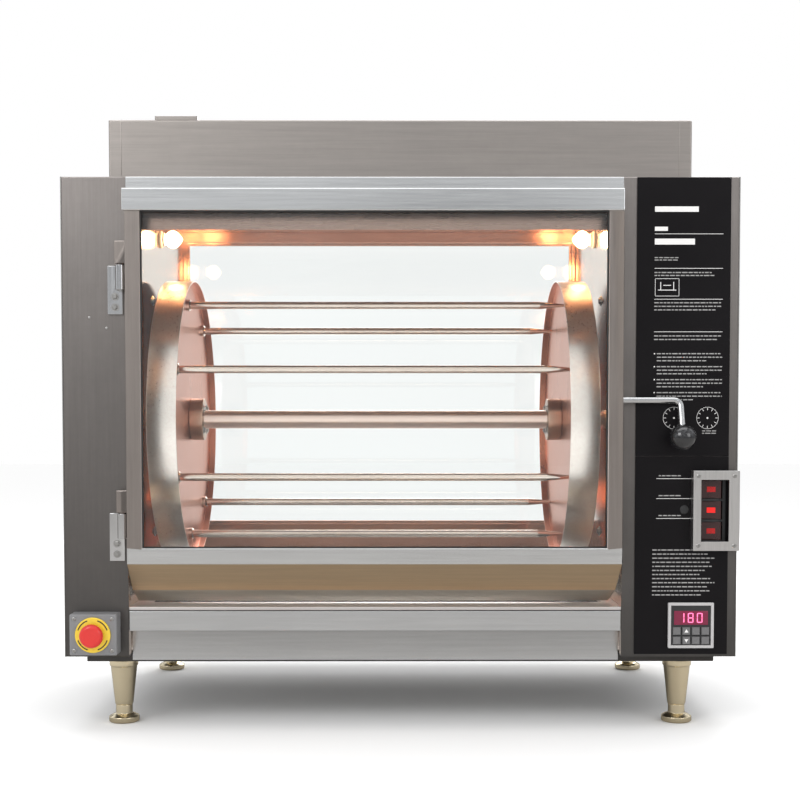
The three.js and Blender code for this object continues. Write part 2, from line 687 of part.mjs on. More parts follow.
// ---------------------------------------------------------------- turning spit frame
const pitchRadius = (teeth) => CHAIN_PITCH / (2 * Math.sin(Math.PI / teeth));
const SPROCKET_X = BAY_RIGHT + SHEET + SPROCKET_FROM_WALL;

function sprocket(teeth, phase) {
  const tip = pitchRadius(teeth) + TOOTH_HEIGHT;
  const root = pitchRadius(teeth) - TOOTH_HEIGHT;
  const points = [];
  for (let i = 0; i < teeth; i += 1) {
    const step = 2 * Math.PI / teeth;
    const corners = [[-TOOTH_ROOT, root], [-TOOTH_TIP, tip], [TOOTH_TIP, tip], [TOOTH_ROOT, root]];
    for (const [turn, r] of corners) {
      const angle = phase + (i + turn) * step;
      points.push([r * Math.cos(angle), r * Math.sin(angle)]);
    }
  }
  return alongX(outline(points), SPROCKET_X, SPROCKET_X + SPROCKET_WIDTH);
}

function disc(inner, outward) {
  const rimEnd = inner + outward * DISC_RIM;
  const lipEnd = inner - outward * DISC_LIP;
  const outer = inner + outward * SHEET;
  const bore = AXLE_R + GAP;
  const rimInside = DISC_R - SHEET;
  let plate = turned([
    [bore, inner], [rimInside, inner], [rimInside, lipEnd], [DISC_R, lipEnd], [DISC_R, rimEnd],
    [rimInside, rimEnd], [rimInside, outer], [bore, outer], [bore, inner],
  ], 'x', DISC_SIDES);
  for (let i = 0; i < SPIT_COUNT; i += 1) {
    const hole = rod('x', SPIT_PIN_R + RUN_CLEAR, inner - 5, inner + 5, 10);
    plate = cut(plate, hole.translate(spitPlace(i)));
  }
  return plate;
}

function spitPlace(i) {
  const angle = SPIT_START + i * 2 * Math.PI / SPIT_COUNT;
  return [0, -SPIT_CIRCLE_R * Math.cos(angle), SPIT_CIRCLE_R * Math.sin(angle)];
}

function spit() {
  const left = DISC_LEFT + GAP;
  const pinEnd = left - SPIT_PIN;
  const pointed = DISC_RIGHT - SPIT_POINT;
  const tip = DISC_RIGHT + SPIT_PIN;
  const slim = SPIT_PIN_R - SPIT_SLIM;
  return turned([
    [0, pinEnd], [SPIT_PIN_R, pinEnd], [SPIT_PIN_R, left], [SPIT_R, left], [SPIT_R, pointed],
    [slim, DISC_RIGHT - 1], [slim, tip - SPIT_TIP], [0, tip],
  ], 'x', 10);
}

function addRotor() {
  const rotor = groupAt(0, 0, AXLE_Z);
  const leftEnd = BAY_LEFT - SHEET - JOURNAL_LENGTH;
  const rightEnd = SPROCKET_X + SPROCKET_WIDTH + JOURNAL_BEYOND_SPROCKET;
  const shoulder = JOURNAL_SHOULDER;
  const axle = turned([
    [0, leftEnd], [JOURNAL_R, leftEnd], [JOURNAL_R, BAY_LEFT + shoulder], [AXLE_R, BAY_LEFT + shoulder],
    [AXLE_R, DISC_LEFT + GAP], [HUB_R, DISC_LEFT + GAP], [HUB_R, DISC_LEFT + HUB_LENGTH],
    [AXLE_R, DISC_LEFT + HUB_LENGTH], [AXLE_R, DISC_RIGHT - HUB_LENGTH], [HUB_R, DISC_RIGHT - HUB_LENGTH],
    [HUB_R, DISC_RIGHT - GAP], [AXLE_R, DISC_RIGHT - GAP], [AXLE_R, BAY_RIGHT - shoulder],
    [JOURNAL_R, BAY_RIGHT - shoulder], [JOURNAL_R, rightEnd], [0, rightEnd],
  ], 'x');
  piece('rotor_axle', axle, steel, rotor);
  piece('rotor_disc_left', disc(DISC_LEFT, -1), steel, rotor);
  piece('rotor_disc_right', disc(DISC_RIGHT, 1), steel, rotor);
  for (let i = 0; i < SPIT_COUNT; i += 1) {
    piece(`spit_${i + 1}`, spit().translate(spitPlace(i)), chrome, rotor);
  }
  const bore = rod('x', JOURNAL_R + GAP, SPROCKET_X - 1, SPROCKET_X + SPROCKET_WIDTH + 1);
  piece('rotor_sprocket', cut(sprocket(ROTOR_TEETH, 0), bore), darkSteel, rotor);
}

function bearing(wall, outward) {
  const at = (distance) => wall + outward * distance;
  const bore = JOURNAL_R + RUN_CLEAR;
  return turned([
    [bore, at(GAP)], [BEARING_FLANGE_R, at(GAP)], [BEARING_FLANGE_R, at(BEARING_FLANGE)],
    [BEARING_R, at(BEARING_FLANGE)], [BEARING_R, at(BEARING_LENGTH)], [bore, at(BEARING_LENGTH)],
    [bore, at(GAP)],
  ], 'x').translate([0, 0, AXLE_Z]);
}

// Outline of the belt line round both sprockets at the given distance from their pitch lines.
function chainLine(offset) {
  const r1 = pitchRadius(ROTOR_TEETH) + offset;
  const r2 = pitchRadius(MOTOR_TEETH) + offset;
  const far = Math.hypot(MOTOR_BACK, MOTOR_DROP);
  const heading = Math.atan2(-MOTOR_DROP, MOTOR_BACK);
  const lean = Math.acos((r1 - r2) / far);
  const path = new THREE.Shape();
  path.absarc(0, 0, r1, heading + lean, heading - lean + 2 * Math.PI, false);
  path.absarc(MOTOR_BACK, -MOTOR_DROP, r2, heading - lean, heading + lean, false);
  return path;
}

function addDrive() {
  const inner = TOOTH_HEIGHT + CHAIN_CLEARANCE;
  const chainShape = chainLine(inner + CHAIN_THICK);
  chainShape.holes.push(chainLine(inner));
  const chain = alongX(chainShape, SPROCKET_X, SPROCKET_X + SPROCKET_WIDTH);
  piece('drive_chain', chain.translate([0, 0, AXLE_Z]), darkSteel);

  const motorZ = AXLE_Z - MOTOR_DROP;
  const boxLeft = SPROCKET_X + SPROCKET_WIDTH + GEARBOX_FROM_SPROCKET;
  const boxX = [boxLeft, boxLeft + GEARBOX_WIDTH];
  const half = GEARBOX / 2;
  const gearbox = block(boxX, [MOTOR_BACK - half, MOTOR_BACK + half], [motorZ - half, motorZ + half]);
  const motor = rod('z', MOTOR_R, motorZ + half - 1, motorZ + half + MOTOR_LENGTH)
    .translate([(boxX[0] + boxX[1]) / 2, MOTOR_BACK, 0]);
  const stand = block([boxX[0], boxX[0] + MOTOR_STAND], [MOTOR_BACK - half, MOTOR_BACK + half],
    [FLOOR + SHEET + GAP, motorZ - half + 1]);
  const standFoot = block(boxX, [MOTOR_BACK - half, MOTOR_BACK + half],
    [FLOOR + SHEET + GAP, FLOOR + SHEET + MOTOR_STAND]);
  const bore = rod('x', MOTOR_SHAFT_R + RUN_CLEAR, boxX[0] - 1, boxX[0] + SHAFT_ENTRY + 2)
    .translate([0, MOTOR_BACK, motorZ]);
  piece('gearmotor', cut(joined(gearbox, motor, stand, standFoot), bore), paint);

  const shaft = rod('x', MOTOR_SHAFT_R, SPROCKET_X - 2, boxX[0] + SHAFT_ENTRY);
  const group = groupAt(0, MOTOR_BACK, motorZ);
  piece('motor_sprocket', joined(sprocket(MOTOR_TEETH, 0), shaft), darkSteel, group);

  piece('bearing_left', bearing(BAY_LEFT - SHEET, -1), darkSteel);
  piece('bearing_right', bearing(BAY_RIGHT + SHEET, 1), darkSteel);
}

// ---------------------------------------------------------------- heater and lamps
// Hairpin element that lies on the ceiling plate, under the hood.
function addHeater() {
  const from = BAY_LEFT + HEATER_WALL_GAP;
  const to = BAY_RIGHT - HEATER_END_CLEARANCE - HEATER_SPREAD;
  const path = new THREE.CurvePath();
  const z = ROOF_Z + SHEET + GAP + HEATER_R;
  const at = (x, y) => new THREE.Vector3(x, y, z);
  path.add(new THREE.LineCurve3(at(from, -HEATER_SPREAD), at(to, -HEATER_SPREAD)));
  const turn = 8;
  const round = (i) => at(
    to + HEATER_SPREAD * Math.sin(i * Math.PI / turn), -HEATER_SPREAD * Math.cos(i * Math.PI / turn));
  for (let i = 0; i < turn; i += 1) path.add(new THREE.LineCurve3(round(i), round(i + 1)));
  path.add(new THREE.LineCurve3(at(to, HEATER_SPREAD), at(from, HEATER_SPREAD)));
  piece('heating_element', tube(path, HEATER_R, 56, 4), darkSteel);
}

function addLamp(name, wall, inward) {
  const at = (distance) => wall + inward * distance;
  const bulbEnd = LAMP_BASE + 2 * LAMP_BULB_R;
  const lamp = turned([
    [0, at(GAP)], [LAMP_BASE_R, at(GAP)], [LAMP_BASE_R, at(LAMP_BASE)],
    [LAMP_BULB_R * 0.75, at(LAMP_BASE + 6)], [LAMP_BULB_R, at(LAMP_BASE + 18)],
    [LAMP_BULB_R * 0.9, at(bulbEnd - 12)], [LAMP_BULB_R * 0.5, at(bulbEnd - 3)], [0, at(bulbEnd)],
  ], 'x', 16);
  piece(name, lamp.translate([0, LAMP_BACK, LAMP_Z]), lampGlass);
}

// ---------------------------------------------------------------- control panel
function addPanels() {
  const x = [BAY_RIGHT + PANEL_LEFT, RIGHT - PANEL_RIGHT];
  const y = [PANEL_FRONT, PANEL_FRONT + PANEL_THICK];
  const split = FLOOR + PANEL_SPLIT;
  const upper = block(x, y, [split + GAP, TOP - 1]);
  const lower = block(x, y, [FLOOR + PANEL_MARGIN, split - GAP]);
  piece('panel_upper', upper, blackPanel);
  piece('panel_lower', cut(lower, controllerHole(CUT_MARGIN), switchHole(CUT_MARGIN)), blackPanel);
}

function addSwitches() {
  const y0 = PANEL_FRONT - GAP - SHEET;
  const body = block([-SWITCH_HALF_WIDTH, SWITCH_HALF_WIDTH], [y0, y0 + SWITCH_DEPTH],
    [-SWITCH_HALF_HEIGHT, SWITCH_HALF_HEIGHT]);
  const bezelX = SWITCH_HALF_WIDTH + SWITCH_BEZEL;
  const bezelZ = SWITCH_HALF_HEIGHT + SWITCH_BEZEL;
  const flange = block([-bezelX, bezelX], [y0, y0 + SHEET], [-bezelZ, bezelZ]);
  const pivotY = FRONT + ROCKER_PIVOT;
  const halfX = ROCKER_WIDTH / 2 + ROCKER_SIDE_GAP;
  const halfZ = ROCKER_HEIGHT / 2 + GAP;
  let housing = joined(body, flange);
  const lean = ROCKER_REST;
  const w = ROCKER_WIDTH / 2;
  const front = -ROCKER_FRONT;
  const keyShape = outline([
    [-w, front], [0, front + ROCKER_DIP], [w, front], [w - ROCKER_DIP, ROCKER_BACK],
    [-w + ROCKER_DIP, ROCKER_BACK]]
    .map(([x, y]) => [x * Math.cos(lean) + y * Math.sin(lean), y * Math.cos(lean) - x * Math.sin(lean)]));
  for (let i = 0; i < ROCKER_COUNT; i += 1) {
    const z = ROCKER_PITCH * ((ROCKER_COUNT - 1) / 2 - i);
    housing = cut(housing, block([-halfX, halfX], [y0 - 1, pivotY + ROCKER_POCKET], [z - halfZ, z + halfZ]));
    const group = groupAt(SWITCH_X, pivotY, SWITCH_Z + z);
    piece(`rocker_${i + 1}`, alongZ(keyShape, -ROCKER_HEIGHT / 2, ROCKER_HEIGHT / 2), litRed, group);
  }
  piece('switch_housing', housing.translate([SWITCH_X, 0, SWITCH_Z]), blackPlastic);
}

// Folded guard plate that stands in front of the switches, with a window for the finger.
function addGuard() {
  const x1 = RIGHT - 1;
  const x0 = x1 - GUARD_WIDTH;
  const y0 = PANEL_FRONT - GUARD_PROUD;
  const shape = outline([
    [x0, y0], [x1, y0], [x1, FRONT - GAP], [x1 - SHEET, FRONT - GAP], [x1 - SHEET, y0 + SHEET],
    [x0 + SHEET, y0 + SHEET], [x0 + SHEET, PANEL_FRONT - GAP], [x0, PANEL_FRONT - GAP],
  ]);
  const half = GUARD_HEIGHT / 2;
  const window = block(
    [SWITCH_X + 2 - GUARD_WINDOW / 2, SWITCH_X + 2 + GUARD_WINDOW / 2], [y0 - 1, y0 + SHEET + 1],
    [SWITCH_Z - GUARD_WINDOW_HEIGHT / 2, SWITCH_Z + GUARD_WINDOW_HEIGHT / 2]);
  piece('switch_guard', cut(alongZ(shape, SWITCH_Z - half, SWITCH_Z + half), window), steel);
}

function addController() {
  const group = groupAt(CONTROLLER_X, PANEL_FRONT - GAP, CONTROLLER_Z);
  const half = CONTROLLER / 2;
  const bodyHalf = CONTROLLER_BODY / 2;
  const recess = half - CONTROLLER_FRAME;
  const floor = -CONTROLLER_PROUD + CONTROLLER_RECESS;
  const body = cut(
    joined(
      block([-half, half], [-CONTROLLER_PROUD, 0], [-half, half]),
      block([-bodyHalf, bodyHalf], [-1, CONTROLLER_DEPTH], [-bodyHalf, bodyHalf])),
    block([-recess, recess], [-CONTROLLER_PROUD - 1, floor], [-recess, recess]));
  piece('controller_body', body, greyPlastic, group);
  const faceHalf = recess - GAP;
  const face = block([-faceHalf, faceHalf], [-CONTROLLER_PROUD + CONTROLLER_SINK, floor - GAP],
    [-faceHalf, faceHalf]);
  piece('controller_face', face, blackPlastic, group);
}

// ---------------------------------------------------------------- emergency stop
function addEstop() {
  const x = LEFT + ESTOP_INSET + ESTOP_WIDTH / 2;
  const group = groupAt(x, FRONT - GAP - ESTOP_DEPTH, FLOOR + ESTOP_RISE);
  const halfX = ESTOP_WIDTH / 2;
  const halfZ = ESTOP_HEIGHT / 2;
  const wall = ESTOP_WALL;
  const stemHole = rod('y', ESTOP_STEM_R + RUN_CLEAR, -1, wall + 1);
  const box = cut(
    block([-halfX, halfX], [0, ESTOP_DEPTH], [-halfZ, halfZ]),
    block([-halfX + wall, halfX - wall], [wall, ESTOP_DEPTH + 1], [-halfZ + wall, halfZ - wall]),
    stemHole);
  piece('estop_box', box, yellowPlastic, group);
  const ringBack = -GAP;
  const ringFront = ringBack - ESTOP_RING;
  const ring = turned([
    [ESTOP_STEM_R + RUN_CLEAR, ringFront], [ESTOP_RING_R - 1, ringFront], [ESTOP_RING_R, ringFront + 1],
    [ESTOP_RING_R, ringBack], [ESTOP_STEM_R + RUN_CLEAR, ringBack], [ESTOP_STEM_R + RUN_CLEAR, ringFront],
  ], 'y');
  piece('estop_ring', ring, yellowPlastic, group);
  const headBack = ringFront - ESTOP_TRAVEL - GAP;
  const headFront = headBack - ESTOP_HEAD;
  const button = turned([
    [0, headFront], [ESTOP_HEAD_R - 6, headFront + 0.5], [ESTOP_HEAD_R - 1.5, headFront + 3],
    [ESTOP_HEAD_R, headFront + 6], [ESTOP_HEAD_R, headBack], [ESTOP_STEM_R, headBack],
    [ESTOP_STEM_R, ESTOP_STEM], [0, ESTOP_STEM],
  ], 'y');
  piece('estop_button', button, redPlastic, group);
}

function addGland() {
  const group = groupAt(RIGHT - GLAND_INSET, 0, FLOOR + GLAND_RISE);
  const start = BACK + GAP;
  const end = REACH;
  const neck = GLAND_R - 4;
  const gland = turned([
    [GLAND_BORE_R, BACK - GLAND_INSIDE], [neck, BACK - GLAND_INSIDE], [neck, start], [GLAND_R, start],
    [GLAND_R, start + GLAND_NUT], [GLAND_R - 2, start + GLAND_NUT], [GLAND_R - 2, end - GLAND_TAIL],
    [neck - 1, end - GLAND_TAIL / 2], [GLAND_BORE_R + 2.5, end], [GLAND_BORE_R, end],
    [GLAND_BORE_R, BACK - GLAND_INSIDE],
  ], 'y', 16);
  piece('cable_gland', gland, blackPlastic, group);
}

addBase();
addLegs();
addCabinets();
addWalls();
addRoof();
addHood();
addRearWindow();
addSill();
addDrawer();
addDoor();
addHandle();
addRotor();
addDrive();
addHeater();
addLamp('lamp_left', BAY_LEFT, 1);
addLamp('lamp_right', BAY_RIGHT, -1);
addPanels();
addSwitches();
addGuard();
addController();
addEstop();
addGland();

export default oven;
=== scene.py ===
"""Looks of a commercial rotisserie oven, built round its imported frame. Metres, front faces -Y."""
import json
import math
import random

import bmesh
import bpy
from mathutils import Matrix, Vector


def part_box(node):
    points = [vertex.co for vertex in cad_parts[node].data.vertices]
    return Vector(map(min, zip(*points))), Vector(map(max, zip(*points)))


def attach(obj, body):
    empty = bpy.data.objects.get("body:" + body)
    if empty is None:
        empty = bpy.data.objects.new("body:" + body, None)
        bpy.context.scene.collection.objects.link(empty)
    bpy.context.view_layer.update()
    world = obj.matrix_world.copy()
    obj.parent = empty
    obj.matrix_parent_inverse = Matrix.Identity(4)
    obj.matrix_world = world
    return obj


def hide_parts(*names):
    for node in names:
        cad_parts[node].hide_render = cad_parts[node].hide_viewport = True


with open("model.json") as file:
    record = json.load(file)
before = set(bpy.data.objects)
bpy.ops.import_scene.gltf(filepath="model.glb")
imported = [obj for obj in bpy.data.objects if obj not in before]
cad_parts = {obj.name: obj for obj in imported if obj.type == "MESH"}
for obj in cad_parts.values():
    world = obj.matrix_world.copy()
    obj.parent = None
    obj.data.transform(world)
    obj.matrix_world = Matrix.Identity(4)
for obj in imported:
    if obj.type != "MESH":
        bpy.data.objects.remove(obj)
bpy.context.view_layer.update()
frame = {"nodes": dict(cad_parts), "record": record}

MM = 0.001
NODES = frame["nodes"]
FOLD_ANGLE = 14                  # degrees; a sharper edge of sheet metal counts as a fold
DISC_LIP = 12 * MM               # how far a disc's rim stands inward of its plate
RUNNING_GAP = 0.3 * MM           # between a turned part and its neighbour
PRINT_PROUD = 0.12 * MM
PRINT_SUNK = 0.1 * MM
LEVER_Y = -331 * MM              # centre line of the latch lever
LEVER_Z = 564 * MM
HINGE_LEAF_FRONT = -323.6 * MM


def low(node):
    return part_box(node)[0]


def high(node):
    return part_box(node)[1]


def middle(node):
    lo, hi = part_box(node)
    return (lo + hi) / 2


# ------------------------------------------------------------------ camera, floor and light
def look():
    """Camera at the oven's mid height, tipped slightly down."""
    tilt, pan = 2.48, 0.15
    data = bpy.data.cameras.new("view_camera")
    data.sensor_width = 36.0
    data.lens = 61.4
    data.shift_y = 0.1
    camera = bpy.data.objects.new("view_camera", data)
    bpy.context.scene.collection.objects.link(camera)
    camera.location = (-0.007, -2.644, 0.529)
    camera.rotation_euler = (math.radians(90 - tilt), 0.0, math.radians(-pan))
    bpy.context.scene.camera = camera


def soft_light(name, place, aim, size, power):
    data = bpy.data.lights.new(name, "AREA")
    data.shape = "RECTANGLE"
    data.size, data.size_y = size
    data.energy = power
    light = bpy.data.objects.new(name, data)
    light.location = place
    light.rotation_euler = (Vector(aim) - Vector(place)).to_track_quat("-Z", "Y").to_euler()
    bpy.context.scene.collection.objects.link(light)


def mirror_ray(tree):
    """Value that is 1 for a reflected ray, unless it has come through glass."""
    path = node(tree, "ShaderNodeLightPath")
    through = math_node(tree, "SUBTRACT", 1.0, path.outputs["Is Transmission Ray"])
    return math_node(tree, "MULTIPLY", path.outputs["Is Glossy Ray"], through)


def studio_world():
    """White room; reflections see it as soft panels that fade towards the floor."""
    world = bpy.data.worlds.new("studio")
    world.use_nodes = True
    bpy.context.scene.world = world
    tree = world.node_tree
    tree.nodes.clear()
    direction = node(tree, "ShaderNodeTexCoord").outputs["Generated"]
    split = node(tree, "ShaderNodeSeparateXYZ")
    tree.links.new(direction, split.inputs[0])
    tall = node(tree, "ShaderNodeMapping")
    tree.links.new(direction, tall.inputs["Vector"])
    tall.inputs["Scale"].default_value = (1.0, 1.0, 0.45)
    patch_scale = 5.0
    patches = remap(tree, noise(tree, tall.outputs[0], patch_scale, 1.0), (0.38, 0.62), (0.3, 1.15))
    height = remap(tree, split.outputs["Z"], (-0.25, 0.5), (0.3, 1.1))
    room = node(tree, "ShaderNodeBackground")
    room.inputs["Color"].default_value = (0.95, 0.97, 1.0, 1.0)
    tree.links.new(math_node(tree, "MULTIPLY", patches, height), room.inputs["Strength"])
    white = node(tree, "ShaderNodeBackground")
    white.inputs["Color"].default_value = (1.0, 1.0, 1.0, 1.0)
    mix = node(tree, "ShaderNodeMixShader")
    tree.links.new(mirror_ray(tree), mix.inputs["Fac"])
    tree.links.new(white.outputs[0], mix.inputs[1])
    tree.links.new(room.outputs[0], mix.inputs[2])
    output = node(tree, "ShaderNodeOutputWorld")
    tree.links.new(mix.outputs[0], output.inputs["Surface"])


def floor_finish():
    """Pale floor that polished metal mirrors as a darker one, as it would a workshop bench."""
    pale, mirrored = (0.97, 0.97, 0.97), (0.42, 0.41, 0.4)
    material, shader = plain_material("floor_white", pale, 0.9)
    shader.inputs["Specular IOR Level"].default_value = 0.0
    tree = material.node_tree
    seen = mix_colour(tree, mirror_ray(tree), pale, mirrored)
    tree.links.new(seen, shader.inputs["Base Color"])
    return material


def studio():
    bpy.context.scene.view_settings.view_transform = "Standard"
    studio_world()
    soft_light("key_light", (-2.2, -3.0, 2.6), (0, 0, 0.5), (1.8, 1.6), 34)
    soft_light("fill_light", (2.6, -2.8, 1.7), (0, 0, 0.5), (1.6, 1.6), 14)
    soft_light("top_light", (0.0, 0.2, 3.4), (0, 0, 0), (3.4, 3.0), 45)
    soft_light("back_light", (0.6, 3.2, 2.2), (0, 0, 0.5), (2.4, 1.6), 60)
    reach = 14.0
    mesh = bpy.data.meshes.new("floor")
    mesh.from_pydata([(-reach, -reach, 0), (reach, -reach, 0), (reach, reach, 0), (-reach, reach, 0)],
                     [], [(0, 1, 2, 3)])
    floor = bpy.data.objects.new("floor", mesh)
    bpy.context.scene.collection.objects.link(floor)
    mesh.materials.append(floor_finish())


# ------------------------------------------------------------------ shared shader groups
def new_group(name, inputs, outputs):
    """Shader group with typed, named sockets; returns it with its input and output nodes."""
    tree = bpy.data.node_groups.new(name, "ShaderNodeTree")
    for label, kind, value in inputs:
        socket = tree.interface.new_socket(label, in_out="INPUT", socket_type=kind)
        socket.default_value = value
    for label, kind in outputs:
        tree.interface.new_socket(label, in_out="OUTPUT", socket_type=kind)
    return tree, tree.nodes.new("NodeGroupInput"), tree.nodes.new("NodeGroupOutput")


def node(tree, kind, **settings):
    made = tree.nodes.new(kind)
    for key, value in settings.items():
        setattr(made, key, value)
    return made


def math_node(tree, operation, first, second):
    made = node(tree, "ShaderNodeMath", operation=operation)
    for socket, value in zip(made.inputs, (first, second)):
        if isinstance(value, (int, float)):
            socket.default_value = value
        else:
            tree.links.new(value, socket)
    return made.outputs[0]


def noise(tree, vector, scale, detail=4.0, rough=0.55):
    made = node(tree, "ShaderNodeTexNoise")
    tree.links.new(vector, made.inputs["Vector"])
    made.inputs["Scale"].default_value = scale
    made.inputs["Detail"].default_value = detail
    made.inputs["Roughness"].default_value = rough
    return made.outputs[0]


def remap(tree, value, from_range, to_range):
    made = node(tree, "ShaderNodeMapRange")
    tree.links.new(value, made.inputs["Value"])
    for label, number in zip(("From Min", "From Max", "To Min", "To Max"), (*from_range, *to_range)):
        made.inputs[label].default_value = number
    return made.outputs[0]


def grain_group():
    """Fine brush lines: noise drawn out along the grain."""
    tree, given, out = new_group(
        "brush_grain",
        [("Stretch", "NodeSocketVector", (1, 1, 1)), ("Scale", "NodeSocketFloat", 90.0)],
        [("Grain", "NodeSocketFloat")])
    place = node(tree, "ShaderNodeTexCoord")
    mapped = node(tree, "ShaderNodeMapping")
    tree.links.new(place.outputs["Object"], mapped.inputs["Vector"])
    tree.links.new(given.outputs["Stretch"], mapped.inputs["Scale"])
    lines = node(tree, "ShaderNodeTexNoise")
    tree.links.new(mapped.outputs[0], lines.inputs["Vector"])
    tree.links.new(given.outputs["Scale"], lines.inputs["Scale"])
    lines.inputs["Detail"].default_value = 6.0
    lines.inputs["Roughness"].default_value = 0.7
    tree.links.new(lines.outputs[0], out.inputs["Grain"])
    return tree


def wipe_and_shade_group():
    """Cloudy wiping marks, which are kitchen wear, and painted shade that darkens a surface towards the
    bottom.
    """
    tree, given, out = new_group(
        "wipe_marks_and_painted_shade",
        [("Low", "NodeSocketFloat", 0.1), ("High", "NodeSocketFloat", 1.0)],
        [("Smear", "NodeSocketFloat"), ("Painted Shade", "NodeSocketFloat")])
    place = node(tree, "ShaderNodeTexCoord")
    smear = noise(tree, place.outputs["Object"], 5.5, 5.0, 0.62)
    tree.links.new(remap(tree, smear, (0.36, 0.68), (0.0, 1.0)), out.inputs["Smear"])
    split = node(tree, "ShaderNodeSeparateXYZ")
    tree.links.new(place.outputs["Object"], split.inputs[0])
    height = node(tree, "ShaderNodeMapRange")
    tree.links.new(split.outputs["Z"], height.inputs["Value"])
    tree.links.new(given.outputs["Low"], height.inputs["From Min"])
    tree.links.new(given.outputs["High"], height.inputs["From Max"])
    height.inputs["To Min"].default_value = 1.0
    height.inputs["To Max"].default_value = 0.0
    # painted shade: a ramp strongest at the bottom and gone at the top, mottled a little by the wiping marks
    uneven = math_node(tree, "MULTIPLY_ADD", smear, 0.3)
    tree.links.new(height.outputs[0], uneven.node.inputs[2])
    tree.links.new(math_node(tree, "SUBTRACT", uneven, 0.15), out.inputs["Painted Shade"])
    return tree


GRAIN = grain_group()
WIPE_AND_SHADE = wipe_and_shade_group()


def use_group(tree, group, **values):
    made = node(tree, "ShaderNodeGroup", node_tree=group)
    for label, value in values.items():
        made.inputs[label.replace("_", " ")].default_value = value
    return made


def mix_colour(tree, factor, first, second):
    made = node(tree, "ShaderNodeMix", data_type="RGBA")
    for socket, value in ((made.inputs["Factor"], factor), (made.inputs[6], first), (made.inputs[7], second)):
        if isinstance(value, tuple):
            socket.default_value = (*value, 1.0)
        elif isinstance(value, (int, float)):
            socket.default_value = value
        else:
            tree.links.new(value, socket)
    return made.outputs[2]


def plain_material(name, colour, roughness, metallic=0.0):
    material = bpy.data.materials.new(name)
    material.use_nodes = True
    shader = material.node_tree.nodes["Principled BSDF"]
    shader.inputs["Base Color"].default_value = (*colour, 1.0)
    shader.inputs["Roughness"].default_value = roughness
    shader.inputs["Metallic"].default_value = metallic
    return material, shader


def bump(tree, shader, height, strength, distance):
    made = node(tree, "ShaderNodeBump")
    made.inputs["Strength"].default_value = strength
    made.inputs["Distance"].default_value = distance
    tree.links.new(height, made.inputs["Height"])
    tree.links.new(made.outputs[0], shader.inputs["Normal"])


def brushed_steel(name, colour, smear_and_shade_colour, grain="x", roughness=0.34, painted_shade_strength=0.5, wear=1.0, scale=210.0):
    """Stainless sheet; the grain runs along x, y or z, and its second colour is the darker one that wiping
    marks and painted shade pull it towards.

    The number after the roughness is how strongly painted shade darkens the sheet towards the bottom, and
    wear how strongly wiping marks show; only a fully worn sheet is coarse enough for its grain to be felt as
    a bump."""
    contrast = 0.08
    smear_strength = 0.16 * wear
    material, shader = plain_material(name, colour, roughness, 1.0)
    tree = material.node_tree
    stretch = {"x": (0.03, 1, 1), "y": (1, 0.03, 1), "z": (1, 1, 0.03)}[grain]
    brushed = use_group(tree, GRAIN, Stretch=stretch, Scale=scale)
    wipes_and_shade = use_group(tree, WIPE_AND_SHADE)
    bright = mix_colour(tree, remap(tree, brushed.outputs["Grain"], (0.3, 0.7), (0.0, 1.0)),
                        tuple(c * (1 - contrast) for c in colour),
                        tuple(min(1.0, c * (1 + contrast)) for c in colour))
    # painted shade: the colour is pulled towards the darker one near the bottom of the sheet
    painted_shade_amount = math_node(tree, "MULTIPLY", wipes_and_shade.outputs["Painted Shade"], painted_shade_strength)
    with_painted_shade = mix_colour(tree, painted_shade_amount, bright, smear_and_shade_colour)
    smear_amount = math_node(tree, "MULTIPLY", wipes_and_shade.outputs["Smear"], smear_strength)
    smeared = mix_colour(tree, smear_amount, with_painted_shade, smear_and_shade_colour)
    tree.links.new(smeared, shader.inputs["Base Color"])
    rough = remap(tree, wipes_and_shade.outputs["Smear"], (0.0, 1.0),
                  (roughness - 0.04 * wear, roughness + 0.1 * wear))
    grainy = math_node(tree, "MULTIPLY", brushed.outputs["Grain"], 0.1)
    tree.links.new(math_node(tree, "ADD", rough, grainy), shader.inputs["Roughness"])
    if wear == 1.0:
        bump(tree, shader, brushed.outputs["Grain"], 0.06, 0.0003)
    return material


def bright_metal(name, colour, roughness, tint=None):
    """Polished or plated metal with faint handling marks."""
    material, shader = plain_material(name, colour, roughness, 1.0)
    tree = material.node_tree
    wipes_and_shade = use_group(tree, WIPE_AND_SHADE)
    shade = mix_colour(tree, math_node(tree, "MULTIPLY", wipes_and_shade.outputs["Smear"], 0.5),
                       colour, tint or tuple(c * 0.75 for c in colour))
    tree.links.new(shade, shader.inputs["Base Color"])
    rough = remap(tree, wipes_and_shade.outputs["Smear"], (0.0, 1.0), (roughness, roughness + 0.12))
    tree.links.new(rough, shader.inputs["Roughness"])
    bump(tree, shader, wipes_and_shade.outputs["Smear"], 0.05, 0.0004)
    return material


def moulded(name, colour, roughness, coat=0.0, texture=0.15, lift=0.012, specular=0.5):
    """Moulded or painted surface with a fine pebble and faint scuffs, lighter by lift."""
    material, shader = plain_material(name, colour, roughness)
    shader.inputs["Specular IOR Level"].default_value = specular
    tree = material.node_tree
    wipes_and_shade = use_group(tree, WIPE_AND_SHADE)
    lighter = tuple(min(1.0, c * 1.25 + lift) for c in colour)
    shade = mix_colour(tree, math_node(tree, "MULTIPLY", wipes_and_shade.outputs["Smear"], 0.4), colour, lighter)
    tree.links.new(shade, shader.inputs["Base Color"])
    rough = remap(tree, wipes_and_shade.outputs["Smear"], (0.0, 1.0), (roughness, min(1.0, roughness + 0.14)))
    tree.links.new(rough, shader.inputs["Roughness"])
    shader.inputs["Coat Weight"].default_value = coat
    shader.inputs["Coat Roughness"].default_value = 0.08
    place = node(tree, "ShaderNodeTexCoord")
    bump(tree, shader, noise(tree, place.outputs["Object"], 900.0, 2.0), texture, 0.0002)
    return material


